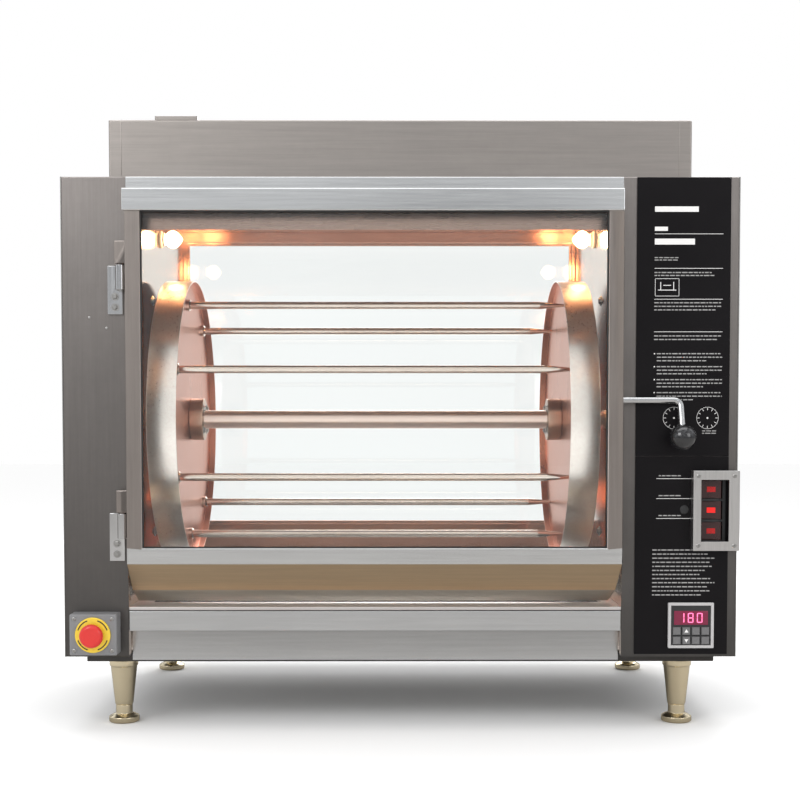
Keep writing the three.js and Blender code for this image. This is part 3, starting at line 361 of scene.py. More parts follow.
def glowing(name, colour, strength, roughness=0.25):
    """Lit surface with an uneven, cloudy glow."""
    material, shader = plain_material(name, colour, roughness)
    tree = material.node_tree
    place = node(tree, "ShaderNodeTexCoord")
    cloud = remap(tree, noise(tree, place.outputs["Object"], 60.0, 2.0), (0.3, 0.7), (0.55, 1.0))
    dark = tuple(c * 0.35 for c in colour)
    tree.links.new(mix_colour(tree, cloud, dark, colour), shader.inputs["Emission Color"])
    shader.inputs["Emission Strength"].default_value = strength
    return material


def clear_glass(name, tint, specular=0.5):
    material, shader = plain_material(name, tint, 0.0)
    shader.inputs["Specular IOR Level"].default_value = specular
    shader.inputs["Transmission Weight"].default_value = 1.0
    shader.inputs["IOR"].default_value = 1.45
    return material


# Each brushed steel's number after its roughness sets its painted shade towards the bottom; the cabinet steel
# has it in full.
STEEL_X = brushed_steel("hood_stainless", (0.46, 0.42, 0.39), (0.2, 0.195, 0.185), "x", 0.36, 0.2)
STEEL_Z = brushed_steel("cabinet_stainless", (0.40, 0.365, 0.345), (0.12, 0.115, 0.11), "z", 0.36, 1.0)
STEEL_Y = brushed_steel("side_stainless", (0.46, 0.45, 0.43), (0.15, 0.145, 0.14), "y", 0.36, 0.7)
GUARD_STEEL = brushed_steel("guard_stainless", (0.78, 0.76, 0.74), (0.4, 0.39, 0.38), "z", 0.26, 0.1, 0.3)
STILE_STEEL = brushed_steel("door_stile", (0.46, 0.405, 0.37), (0.22, 0.2, 0.19), "z", 0.28, 0.3)
RAIL_STEEL = brushed_steel("door_rail", (0.9, 0.905, 0.9), (0.5, 0.495, 0.48), "x", 0.17, 0.2, 0.3)
# painted reflection: the apron's brown stands for a brown floor mirrored in the slanted sheet
APRON_PAINTED_REFLECTION = brushed_steel("drip_apron_painted_reflection", (0.74, 0.555, 0.36), (0.4, 0.3, 0.2), "x", 0.3, 0.2, 0.3)
LIP_STEEL = brushed_steel("drip_lip", (0.8, 0.77, 0.7), (0.4, 0.38, 0.34), "x", 0.38, 0.2, 0.3)
BRIGHT_SHEET = brushed_steel("drawer_sheet", (0.78, 0.79, 0.795), (0.45, 0.45, 0.45), "x", 0.16, 0.2, 0.2)
BAY_STEEL = brushed_steel("bay_heat_tint", (0.83, 0.69, 0.59), (0.5, 0.38, 0.31), "z", 0.07, 0.3, 0.5)
REAR_STEEL = brushed_steel("rear_heat_tint", (0.78, 0.42, 0.31), (0.5, 0.26, 0.18), "x", 0.12, 0.3, 0.5)
CEILING_STEEL = brushed_steel("ceiling_browned", (0.39, 0.28, 0.235), (0.2, 0.12, 0.09), "x", 0.22, 0.1, 0.2)
SILL_STEEL = brushed_steel("sill_browned", (0.97, 0.91, 0.89), (0.6, 0.5, 0.45), "x", 0.42, 0.2, 0.3)
# painted lamp light: the disc plates' pink stands for the lamps' warm light falling on neutral steel
PLATE_LAMPLIGHT_STEEL = brushed_steel("disc_plate_painted_lamplight", (0.66, 0.28, 0.18), (0.5, 0.22, 0.14), "z", 0.24, 0.2, 0.3)
ROTOR_STEEL = brushed_steel("rotor_warm", (0.98, 0.88, 0.82), (0.75, 0.6, 0.52), "y", 0.24, 0.1, 0.15)
AXLE_STEEL = brushed_steel("axle_warm", (0.92, 0.74, 0.65), (0.66, 0.5, 0.42), "x", 0.24, 0.1, 0.15)
HUB_STEEL = brushed_steel("hub_tint", (0.56, 0.40, 0.30), (0.4, 0.25, 0.18), "y", 0.26, 0.1, 0.15)
CHROME = bright_metal("chrome", (0.78, 0.78, 0.78), 0.09)
SPIT_METAL = bright_metal("spit_stainless", (0.8, 0.7, 0.62), 0.14, (0.62, 0.5, 0.42))
SCREW_METAL = bright_metal("screw_steel", (0.55, 0.54, 0.52), 0.28)
NICKEL = bright_metal("leg_nickel", (0.98, 0.86, 0.61), 0.15, (0.8, 0.66, 0.44))
DARK_STEEL = bright_metal("dark_steel", (0.13, 0.125, 0.12), 0.5, (0.07, 0.06, 0.055))
HEATER_METAL = bright_metal("heater_sheath", (0.2, 0.17, 0.15), 0.5, (0.1, 0.07, 0.05))
PANEL_BLACK = moulded("panel_film", (0.004, 0.003, 0.004), 0.33, 0.0, 0.04, 0.0015, 0.2)
BLACK_GLOSS = moulded("black_gloss", (0.008, 0.008, 0.009), 0.12, 1.0, 0.02)
BLACK_MATT = moulded("black_matt", (0.02, 0.02, 0.021), 0.5)
GREY_PLASTIC = moulded("controller_grey", (0.42, 0.41, 0.41), 0.45)
KEY_GREY = moulded("key_grey", (0.13, 0.128, 0.13), 0.5)
PRINT_WHITE = moulded("print_white", (0.72, 0.71, 0.7), 0.6, 0.0, 0.05)
PRINT_GREY = moulded("print_grey", (0.3, 0.295, 0.29), 0.6, 0.0, 0.05)
ESTOP_GREY = moulded("estop_grey", (0.2, 0.2, 0.205), 0.42)
ESTOP_YELLOW = moulded("estop_yellow", (0.78, 0.55, 0.03), 0.35, 0.3)
ESTOP_RED = moulded("estop_red", (0.62, 0.02, 0.015), 0.3, 0.4)
SEAL_RUBBER = moulded("seal_rubber", (0.03, 0.028, 0.027), 0.75)
MOTOR_PAINT = moulded("motor_paint", (0.09, 0.11, 0.13), 0.4, 0.2)
CERAMIC = moulded("lamp_ceramic", (0.75, 0.72, 0.66), 0.4, 0.3)
ROCKER_LENS = glowing("rocker_lens", (0.75, 0.01, 0.008), 0.6)
ROCKER_LIT = glowing("rocker_lit", (0.38, 0.006, 0.006), 0.3)
ROCKER_DARK = moulded("rocker_dark", (0.035, 0.006, 0.006), 0.22, 0.6)
DIGIT_LIT = glowing("digit_lit", (1.0, 0.16, 0.36), 1.5)
DISPLAY_RED = glowing("display_red", (0.14, 0.012, 0.035), 0.5)
LAMP_LIT = glowing("lamp_lit", (1.0, 0.6, 0.3), 110.0)
GLASS = clear_glass("toughened_glass", (0.97, 0.985, 0.98))
REAR_GLASS = clear_glass("rear_toughened_glass", (0.97, 0.985, 0.98), 0.0)


# ------------------------------------------------------------------ mesh helpers
def new_piece(name, mesh, body, slot, material=None, *replaced):
    """Puts a finished mesh in the scene, riding on a body; its slot argument is not used."""
    piece = bpy.data.objects.new(name, mesh)
    bpy.context.scene.collection.objects.link(piece)
    if material is not None:
        mesh.materials.clear()
        mesh.materials.append(material)
    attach(piece, body)
    if replaced:
        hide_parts(*replaced)
    return piece


def mesh_from(work, name, smooth_angle=35):
    """Mesh of a bmesh, smooth where its faces meet gently."""
    for face in work.faces:
        face.smooth = True
    limit = math.radians(smooth_angle)
    for edge in work.edges:
        edge.smooth = edge.is_manifold and edge.calc_face_angle(0.0) < limit
    mesh = bpy.data.meshes.new(name)
    work.to_mesh(mesh)
    work.free()
    return mesh


def body_of(cad_node):
    for body, members in frame["record"]["behaviour"]["bodies"].items():
        if cad_node in members:
            return body
    raise KeyError(cad_node)


def slot_of(cad_node):
    for entry in frame["record"]["subparts"]:
        if entry["node"] == cad_node:
            return entry["material_slot"]
    raise KeyError(cad_node)


def mean_width(face):
    return 2 * face.calc_area() / face.calc_perimeter()


def folded(cad_node, finish, fold=0.0028, edge=0.0005, wide=0.0035, cuts=(), pick=None):
    """Refined copy of a sheet-metal node: rounded folds between wide faces, broken sharp edges.

    finish is a material, or a list that pick(centre, normal) chooses from for each face, and
    cuts are planes (point, normal) that part the faces where the finish changes."""
    work = bmesh.new()
    work.from_mesh(NODES[cad_node].data)
    bmesh.ops.remove_doubles(work, verts=work.verts, dist=1e-6)
    bmesh.ops.dissolve_limit(work, angle_limit=math.radians(1), verts=work.verts, edges=work.edges)
    for point, normal in cuts:
        bmesh.ops.bisect_plane(work, geom=work.verts[:] + work.edges[:] + work.faces[:], dist=1e-6,
                               plane_co=point, plane_no=normal)
    weights = work.edges.layers.float.new("bevel_weight_edge")
    bend = math.radians(FOLD_ANGLE)
    for line in work.edges:
        if len(line.link_faces) != 2 or line.calc_face_angle(0.0) < bend:
            continue
        if line.is_convex:
            broad = min(mean_width(face) for face in line.link_faces) > wide
            line[weights] = 1.0 if broad else edge / fold
        else:
            line.smooth = False
    finishes = finish if isinstance(finish, list) else [finish]
    for face in work.faces:
        face.smooth = True
        if pick:
            face.material_index = pick(face.calc_center_median(), face.normal)
    mesh = bpy.data.meshes.new(cad_node + "_sheet")
    work.to_mesh(mesh)
    work.free()
    for material in finishes:
        mesh.materials.append(material)
    piece = new_piece(cad_node + "_sheet", mesh, body_of(cad_node), slot_of(cad_node), None, cad_node)
    rounding = piece.modifiers.new("fold", "BEVEL")
    rounding.limit_method = "WEIGHT"
    rounding.width = fold
    rounding.segments = 3
    rounding.use_clamp_overlap = False
    rounding.miter_outer = "MITER_ARC"
    shading = piece.modifiers.new("shading", "WEIGHTED_NORMAL")
    shading.keep_sharp = True
    return piece


def turned_mesh(name, profile, axis, centre, segments=64, smooth_angle=35):
    """Solid of revolution: profile of (radius, distance) pairs from axis to axis, or closed."""
    work = bmesh.new()
    rings = []
    closed = profile[0] == profile[-1]
    rows = profile[:-1] if closed else profile
    along = {"x": Vector((1, 0, 0)), "y": Vector((0, 1, 0)), "z": Vector((0, 0, 1))}[axis]
    side = Vector((0, 1, 0)) if axis == "x" else Vector((1, 0, 0))
    other = along.cross(side)
    for radius, distance in rows:
        if radius < 1e-7:
            rings.append([work.verts.new(Vector(centre) + along * distance)])
            continue
        turns = [2 * math.pi * i / segments for i in range(segments)]
        rings.append([work.verts.new(Vector(centre) + along * distance
                                     + (side * math.cos(t) + other * math.sin(t)) * radius) for t in turns])
    pairs = list(zip(rings, rings[1:] + ([rings[0]] if closed else [])))
    if not closed:
        pairs = pairs[:len(rings) - 1]
    for first, second in pairs:
        for i in range(segments):
            j = (i + 1) % segments
            corners = [first[i % len(first)], first[j % len(first)], second[j % len(second)],
                       second[i % len(second)]]
            unique = list(dict.fromkeys(corners))
            if len(unique) > 2:
                work.faces.new(unique)
    bmesh.ops.recalc_face_normals(work, faces=work.faces)
    return mesh_from(work, name, smooth_angle)


def rounded_profile(corners, radius, steps=4):
    """Profile with each inner corner replaced by a short arc of points."""
    points = [corners[0]]
    for before, corner, after in zip(corners, corners[1:], corners[2:]):
        a, b, c = Vector(before), Vector(corner), Vector(after)
        size = min(radius, (a - b).length * 0.45, (c - b).length * 0.45)
        start = b + (a - b).normalized() * size
        end = b + (c - b).normalized() * size
        for i in range(steps + 1):
            t = i / steps
            mid = start * (1 - t) ** 2 + b * 2 * t * (1 - t) + end * t ** 2
            points.append((mid.x, mid.y))
    points.append(corners[-1])
    return points


def box_into(work, lo, hi, rounding=0.0, segments=2):
    """Adds a box, edges rounded if asked, to a bmesh."""
    lo, hi = Vector(lo), Vector(hi)
    made = bmesh.ops.create_cube(work, size=1.0)["verts"]
    for vert in made:
        vert.co = Vector(lo[k] + (vert.co[k] + 0.5) * (hi[k] - lo[k]) for k in range(3))
    if rounding:
        edges = list({line for vert in made for line in vert.link_edges})
        bmesh.ops.bevel(work, geom=edges, offset=rounding, segments=segments, profile=0.5,
                        affect="EDGES", clamp_overlap=True)


def boxes_mesh(name, boxes, rounding=0.0, segments=2):
    work = bmesh.new()
    for lo, hi in boxes:
        box_into(work, lo, hi, rounding, segments)
    return mesh_from(work, name)


def swept_mesh(name, points, radius, sides=20):
    """Round bar along a line of points, with closed flat ends."""
    work = bmesh.new()
    rings = []
    points = [Vector(p) for p in points]
    reference = None
    for i, point in enumerate(points):
        ahead = points[min(i + 1, len(points) - 1)] - points[max(i - 1, 0)]
        ahead.normalize()
        if reference is None:
            reference = ahead.orthogonal().normalized()
        reference = (reference - ahead * reference.dot(ahead)).normalized()
        other = ahead.cross(reference)
        rings.append([work.verts.new(point + (reference * math.cos(t) + other * math.sin(t)) * radius)
                      for t in (2 * math.pi * k / sides for k in range(sides))])
    for first, second in zip(rings, rings[1:]):
        for k in range(sides):
            j = (k + 1) % sides
            work.faces.new((first[k], first[j], second[j], second[k]))
    work.faces.new(rings[0][::-1])
    work.faces.new(rings[-1])
    bmesh.ops.recalc_face_normals(work, faces=work.faces)
    return mesh_from(work, name)


# ------------------------------------------------------------------ geometry node trees
def new_tree(name, inputs):
    """Geometry tree with named inputs; returns it with its input and output nodes."""
    tree = bpy.data.node_groups.new(name, "GeometryNodeTree")
    tree.interface.new_socket("Geometry", in_out="INPUT", socket_type="NodeSocketGeometry")
    for label, kind in inputs:
        tree.interface.new_socket(label, in_out="INPUT", socket_type=kind)
    tree.interface.new_socket("Geometry", in_out="OUTPUT", socket_type="NodeSocketGeometry")
    return tree, tree.nodes.new("NodeGroupInput"), tree.nodes.new("NodeGroupOutput")


def wire(tree, source, target, label):
    tree.links.new(source, target.inputs[label])


def joined_shapes(tree, *shapes):
    join = node(tree, "GeometryNodeJoinGeometry")
    for shape in shapes:
        tree.links.new(shape, join.inputs[0])
    return join.outputs[0]


def lifted(tree, shape, lift, turn=(0.0, 0.0, 0.0)):
    """Shape moved along its Z by a value or socket, after an optional fixed turn."""
    place = node(tree, "ShaderNodeCombineXYZ")
    if isinstance(lift, float):
        place.inputs["Z"].default_value = lift
    else:
        wire(tree, lift, place, "Z")
    move = node(tree, "GeometryNodeTransform")
    wire(tree, shape, move, "Geometry")
    wire(tree, place.outputs[0], move, "Translation")
    move.inputs["Rotation"].default_value = turn
    return move.outputs[0]


def end_of_tree(tree, instances, finish, out):
    """Realize Instances, then Set Material."""
    real = node(tree, "GeometryNodeRealizeInstances")
    wire(tree, instances, real, "Geometry")
    paint = node(tree, "GeometryNodeSetMaterial")
    wire(tree, real.outputs[0], paint, "Geometry")
    wire(tree, finish, paint, "Material")
    tree.links.new(paint.outputs[0], out.inputs[0])


def fastener_tree():
    """Screw heads on points: washer, head with a chamfered crown, and a cross recess when asked."""
    tree, given, out = new_tree("fasteners", [
        ("Head Radius", "NodeSocketFloat"), ("Head Height", "NodeSocketFloat"),
        ("Sides", "NodeSocketInt"), ("Washer Radius", "NodeSocketFloat"),
        ("Recess", "NodeSocketFloat"), ("Seed", "NodeSocketInt"), ("Finish", "NodeSocketMaterial")])
    radius, height = given.outputs["Head Radius"], given.outputs["Head Height"]
    washer = node(tree, "GeometryNodeMeshCylinder")
    washer.inputs["Vertices"].default_value = 28
    wire(tree, given.outputs["Washer Radius"], washer, "Radius")
    wire(tree, math_node(tree, "MULTIPLY", height, 0.4), washer, "Depth")
    shank = node(tree, "GeometryNodeMeshCylinder")
    wire(tree, given.outputs["Sides"], shank, "Vertices")
    wire(tree, radius, shank, "Radius")
    wire(tree, height, shank, "Depth")
    crown = node(tree, "GeometryNodeMeshCone")
    wire(tree, given.outputs["Sides"], crown, "Vertices")
    wire(tree, radius, crown, "Radius Bottom")
    wire(tree, math_node(tree, "MULTIPLY", radius, 0.78), crown, "Radius Top")
    wire(tree, math_node(tree, "MULTIPLY", height, 0.35), crown, "Depth")
    crown_up = lifted(tree, crown.outputs["Mesh"], math_node(tree, "MULTIPLY", height, 0.499))
    body = joined_shapes(tree, shank.outputs["Mesh"], crown_up)
    length = math_node(tree, "MULTIPLY", given.outputs["Recess"], 2.0)
    width = math_node(tree, "MULTIPLY", given.outputs["Recess"], 0.42)
    cross = []
    for first, second in ((length, width), (width, length)):
        size = node(tree, "ShaderNodeCombineXYZ")
        wire(tree, first, size, "X")
        wire(tree, second, size, "Y")
        wire(tree, height, size, "Z")
        bar = node(tree, "GeometryNodeMeshCube")
        wire(tree, size.outputs[0], bar, "Size")
        cross.append(lifted(tree, bar.outputs["Mesh"], math_node(tree, "MULTIPLY", height, 0.9)))
    sunk = node(tree, "GeometryNodeMeshBoolean", operation="DIFFERENCE")
    wire(tree, body, sunk, "Mesh 1")
    for bar in cross:
        wire(tree, bar, sunk, "Mesh 2")
    has_recess = node(tree, "FunctionNodeCompare", data_type="FLOAT", operation="GREATER_THAN")
    tree.links.new(given.outputs["Recess"], has_recess.inputs[0])
    has_recess.inputs[1].default_value = 0.00001
    choice = node(tree, "GeometryNodeSwitch", input_type="GEOMETRY")
    wire(tree, has_recess.outputs[0], choice, "Switch")
    wire(tree, body, choice, "False")
    wire(tree, sunk.outputs["Mesh"], choice, "True")
    head = joined_shapes(tree, choice.outputs[0], washer.outputs["Mesh"])
    facing = node(tree, "GeometryNodeInputNamedAttribute", data_type="FLOAT_VECTOR")
    facing.inputs["Name"].default_value = "facing"
    align = node(tree, "FunctionNodeAlignRotationToVector", axis="Z")
    wire(tree, facing.outputs["Attribute"], align, "Vector")
    spin = node(tree, "FunctionNodeRandomValue", data_type="FLOAT")
    spin.inputs[2].default_value = 0.0
    spin.inputs[3].default_value = math.pi
    wire(tree, given.outputs["Seed"], spin, "Seed")
    turn = node(tree, "FunctionNodeAxisAngleToRotation")
    turn.inputs["Axis"].default_value = (0, 0, 1)
    wire(tree, spin.outputs[1], turn, "Angle")
    turned = node(tree, "FunctionNodeRotateRotation", rotation_space="LOCAL")
    wire(tree, align.outputs[0], turned, "Rotation")
    wire(tree, turn.outputs[0], turned, "Rotate By")
    spread = node(tree, "GeometryNodeInstanceOnPoints")
    wire(tree, given.outputs["Geometry"], spread, "Points")
    wire(tree, head, spread, "Instance")
    wire(tree, turned.outputs[0], spread, "Rotation")
    end_of_tree(tree, spread.outputs[0], given.outputs["Finish"], out)
    return tree


def spit_tree():
    """Spits on a circle round the axle: a round shank along X that narrows to a long point."""
    tree, given, out = new_tree("spit_ring", [
        ("Count", "NodeSocketInt"), ("Circle Radius", "NodeSocketFloat"),
        ("Start Angle", "NodeSocketFloat"), ("Axle Height", "NodeSocketFloat"),
        ("Shank Radius", "NodeSocketFloat"), ("Tip Radius", "NodeSocketFloat"),
        ("From", "NodeSocketFloat"), ("Point From", "NodeSocketFloat"), ("To", "NodeSocketFloat"),
        ("Finish", "NodeSocketMaterial")])
    along_x = (0.0, math.pi / 2, 0.0)
    length = math_node(tree, "SUBTRACT", given.outputs["Point From"], given.outputs["From"])
    shank = node(tree, "GeometryNodeMeshCylinder")
    shank.inputs["Vertices"].default_value = 24
    wire(tree, given.outputs["Shank Radius"], shank, "Radius")
    wire(tree, length, shank, "Depth")
    middle_x = math_node(tree, "ADD", given.outputs["From"], math_node(tree, "MULTIPLY", length, 0.5))
    point = node(tree, "GeometryNodeMeshCone")
    point.inputs["Vertices"].default_value = 24
    wire(tree, given.outputs["Shank Radius"], point, "Radius Bottom")
    wire(tree, given.outputs["Tip Radius"], point, "Radius Top")
    wire(tree, math_node(tree, "SUBTRACT", given.outputs["To"], given.outputs["Point From"]), point, "Depth")
    bars = []
    starts = ((shank, middle_x), (point, given.outputs["Point From"]))
    for shape, start in starts:
        place = node(tree, "ShaderNodeCombineXYZ")
        wire(tree, start, place, "X")
        move = node(tree, "GeometryNodeTransform")
        wire(tree, shape.outputs["Mesh"], move, "Geometry")
        wire(tree, place.outputs[0], move, "Translation")
        move.inputs["Rotation"].default_value = along_x
        bars.append(move.outputs[0])
    places = node(tree, "GeometryNodeMeshLine")
    wire(tree, given.outputs["Count"], places, "Count")
    index = node(tree, "GeometryNodeInputIndex")
    step = math_node(tree, "DIVIDE", 2 * math.pi, given.outputs["Count"])
    angle = math_node(tree, "ADD", math_node(tree, "MULTIPLY", index.outputs[0], step),
                      given.outputs["Start Angle"])
    circle = node(tree, "ShaderNodeCombineXYZ")
    reach = math_node(tree, "MULTIPLY", given.outputs["Circle Radius"], -1.0)
    wire(tree, math_node(tree, "MULTIPLY", math_node(tree, "COSINE", angle, 0.0), reach), circle, "Y")
    rise = math_node(tree, "MULTIPLY", math_node(tree, "SINE", angle, 0.0), given.outputs["Circle Radius"])
    wire(tree, math_node(tree, "ADD", rise, given.outputs["Axle Height"]), circle, "Z")
    ring = node(tree, "GeometryNodeSetPosition")
    wire(tree, places.outputs["Mesh"], ring, "Geometry")
    wire(tree, circle.outputs[0], ring, "Position")
    spread = node(tree, "GeometryNodeInstanceOnPoints")
    wire(tree, ring.outputs[0], spread, "Points")
    wire(tree, joined_shapes(tree, *bars), spread, "Instance")
    end_of_tree(tree, spread.outputs[0], given.outputs["Finish"], out)
    return tree


def key_tree():
    """Membrane keys on a grid standing in the XZ plane, each a low pyramid with a flat top."""
    tree, given, out = new_tree("keypad", [
        ("Columns", "NodeSocketInt"), ("Rows", "NodeSocketInt"), ("Pitch", "NodeSocketFloat"),
        ("Key Size", "NodeSocketFloat"), ("Key Height", "NodeSocketFloat"),
        ("Centre", "NodeSocketVector"), ("Finish", "NodeSocketMaterial")])
    grid = node(tree, "GeometryNodeMeshGrid")
    wire(tree, given.outputs["Columns"], grid, "Vertices X")
    wire(tree, given.outputs["Rows"], grid, "Vertices Y")
    for count, label in ((given.outputs["Columns"], "Size X"), (given.outputs["Rows"], "Size Y")):
        gaps = math_node(tree, "SUBTRACT", count, 1.0)
        wire(tree, math_node(tree, "MULTIPLY", gaps, given.outputs["Pitch"]), grid, label)
    upright = node(tree, "GeometryNodeTransform")
    wire(tree, grid.outputs["Mesh"], upright, "Geometry")
    wire(tree, given.outputs["Centre"], upright, "Translation")
    upright.inputs["Rotation"].default_value = (math.pi / 2, 0.0, 0.0)
    key = node(tree, "GeometryNodeMeshCone")
    key.inputs["Vertices"].default_value = 4
    half_diagonal = math_node(tree, "MULTIPLY", given.outputs["Key Size"], math.sqrt(0.5))
    wire(tree, half_diagonal, key, "Radius Bottom")
    wire(tree, math_node(tree, "MULTIPLY", half_diagonal, 0.9), key, "Radius Top")
    wire(tree, given.outputs["Key Height"], key, "Depth")
    square = node(tree, "GeometryNodeTransform")
    wire(tree, key.outputs["Mesh"], square, "Geometry")
    square.inputs["Rotation"].default_value = (0.0, 0.0, math.pi / 4)
    outward = node(tree, "GeometryNodeTransform")
    wire(tree, square.outputs[0], outward, "Geometry")
    outward.inputs["Rotation"].default_value = (math.pi / 2, 0.0, 0.0)
    spread = node(tree, "GeometryNodeInstanceOnPoints")
    wire(tree, upright.outputs[0], spread, "Points")
    wire(tree, outward.outputs[0], spread, "Instance")
    end_of_tree(tree, spread.outputs[0], given.outputs["Finish"], out)
    return tree


def baked(name, tree, values, points=None):
    """Plain mesh of a geometry tree's result, smooth where faces meet gently."""
    mesh = bpy.data.meshes.new(name + "_points")
    if points:
        mesh.from_pydata([place for place, _ in points], [], [])
        facing = mesh.attributes.new("facing", "FLOAT_VECTOR", "POINT")
        for row, (_, direction) in zip(facing.data, points):
            row.vector = direction
    holder = bpy.data.objects.new(name + "_maker", mesh)
    bpy.context.scene.collection.objects.link(holder)
    modifier = holder.modifiers.new("tree", "NODES")
    modifier.node_group = tree
    for item in tree.interface.items_tree:
        if item.in_out == "INPUT" and item.name in values:
            modifier[item.identifier] = values[item.name]
    view = bpy.context.evaluated_depsgraph_get()
    result = bpy.data.meshes.new_from_object(holder.evaluated_get(view), depsgraph=view)
    bpy.data.objects.remove(holder)
    material = values["Finish"]
    work = bmesh.new()
    work.from_mesh(result)
    bpy.data.meshes.remove(result)
    finished = mesh_from(work, name)
    finished.materials.append(material)
    return finished


FASTENERS = fastener_tree()
SPITS = spit_tree()
KEYS = key_tree()


def fasteners(name, places, facing, body, slot, material, radius, height, style="pan", seed=1):
    """Rows of screw heads: hex bolts on washers, cross-recessed pan heads or plain rivets."""
    sides = 6 if style == "hex" else 24
    washer = radius * (1.45 if style == "hex" else 0.6)
    recess = radius * 0.55 if style == "pan" else 0.0
    points = [(Vector(place), Vector(facing)) for place in places]
    mesh = baked(name, FASTENERS, {
        "Head Radius": radius, "Head Height": height, "Sides": sides, "Washer Radius": washer,
        "Recess": recess, "Seed": seed, "Finish": material}, points)
    return new_piece(name, mesh, body, slot)


# ------------------------------------------------------------------ legs and base
def legs():
    """Tapered legs and the threaded feet that screw into them."""
    for place in ("front_left", "front_right", "back_left", "back_right"):
        leg = "leg_" + place
        lo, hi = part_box(leg)
        centre = ((lo.x + hi.x) / 2, (lo.y + hi.y) / 2, 0)
        top_radius = (hi.x - lo.x) / 2
        foot_low, foot_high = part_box("foot_" + place)
        foot_radius = (foot_high.x - foot_low.x) / 2
        stud = 6 * MM
        bore = stud + RUNNING_GAP
        narrow = 15.5 * MM
        deep = lo.z + 52 * MM
        outside = rounded_profile([
            (bore, lo.z), (narrow, lo.z), (narrow + 0.7 * MM, lo.z + 5 * MM),
            (top_radius - 2 * MM, hi.z - 12 * MM), (top_radius, hi.z - 10 * MM), (top_radius, hi.z),
            (0, hi.z)], 1.2 * MM)
        profile = outside + [(0, deep), (bore, deep), (bore, lo.z)]
        new_piece(leg + "_turned", turned_mesh(leg, profile, "z", centre), body_of(leg),
                  "leg_nickel", NICKEL, leg)
        plate = 14 * MM
        neck = lo.z - RUNNING_GAP
        foot = rounded_profile([
            (0, 0), (foot_radius - 3 * MM, 0), (foot_radius, 2 * MM), (foot_radius, plate - 4 * MM),
            (foot_radius - 7 * MM, plate), (14.5 * MM, plate + 1.5 * MM), (14.5 * MM, neck), (stud, neck)],
            1.0 * MM)
        pitch = 1.75 * MM
        thread_top = foot_high.z
        z = neck + 0.6 * MM
        while z + pitch < thread_top - 1 * MM:
            foot += [(stud, z), (stud - 0.55 * MM, z + pitch / 2)]
            z += pitch
        foot += [(stud, z), (stud - 1.2 * MM, thread_top), (0, thread_top)]
        node_name = "foot_" + place
        new_piece(node_name + "_turned", turned_mesh(node_name, foot, "z", centre), body_of(node_name),
                  "leg_nickel", NICKEL, node_name)


# ------------------------------------------------------------------ sheet metal
def cabinets():
    """Folded sheet metal of the body, and the screws of the side panels."""
    folded("left_cabinet", STEEL_Z, fold=2.2 * MM)
    folded("right_cabinet", STEEL_Z, fold=2.2 * MM)
    for side in ("left", "right"):
        folded(side + "_side_panel", STEEL_Y, fold=0.6 * MM, edge=0.4 * MM)
        folded("bay_wall_" + side, BAY_STEEL, fold=0.8 * MM, edge=0.4 * MM)
        lo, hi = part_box(side + "_side_panel")
        x = lo.x if side == "left" else hi.x
        outward = -1 if side == "left" else 1
        rows = 6
        inset = 14 * MM
        places = [(x + outward * 0.5 * MM, y, lo.z + inset + row * (hi.z - lo.z - 2 * inset) / (rows - 1))
                  for y in (lo.y + inset, hi.y - inset) for row in range(rows)]
        fasteners(side + "_side_screws", places, (outward, 0, 0), "root", "bright_steel", SCREW_METAL,
                  4.2 * MM, 1.6 * MM)
    folded("base_frame", DARK_STEEL, fold=1.5 * MM)
    folded("bay_roof", CEILING_STEEL, fold=1.5 * MM)
    folded("front_header", RAIL_STEEL, fold=1.5 * MM)
    folded("rear_window_frame", [REAR_STEEL, STEEL_X], fold=1.2 * MM,
           pick=lambda centre, normal: 1 if normal.y > 0.5 else 0)
    folded("sill_frame", SILL_STEEL, fold=1.2 * MM)
    folded("grease_drawer", BRIGHT_SHEET, fold=1.8 * MM)


def cabinet_rivets():
    """Rivets on the left cabinet, studs on the bay walls and screws round the rear window."""
    lo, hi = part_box("left_cabinet")
    front = lo.y - 0.2 * MM
    spots = ((0.42, 704 * MM), (0.69, 686 * MM))
    places = [(lo.x + (hi.x - lo.x) * share, front, z) for share, z in spots]
    fasteners("cabinet_rivets", places, (0, -1, 0), "root", "stainless", SCREW_METAL, 2.2 * MM, 0.9 * MM,
              "rivet")
    stud_y = -60 * MM
    stud_heights = (755 * MM, 320 * MM)
    for side, inward in (("left", 1), ("right", -1)):
        wall = high("bay_wall_left").x if side == "left" else low("bay_wall_right").x
        studs = [(wall, stud_y, z) for z in stud_heights]
        fasteners("bay_wall_bolts_" + side, studs, (inward, 0, 0), "root", "bay_steel", SCREW_METAL,
                  6.5 * MM, 5 * MM, "hex", seed=4)
    lo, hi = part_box("rear_window_frame")
    count = 8
    inset = 7 * MM
    rear = [(lo.x + 20 * MM + i * (hi.x - lo.x - 40 * MM) / (count - 1), hi.y + 0.3 * MM, z)
            for i in range(count) for z in (lo.z + 40 * MM, hi.z - inset)]
    fasteners("rear_frame_screws", rear, (0, 1, 0), "root", "bright_steel", SCREW_METAL, 4 * MM, 1.6 * MM)


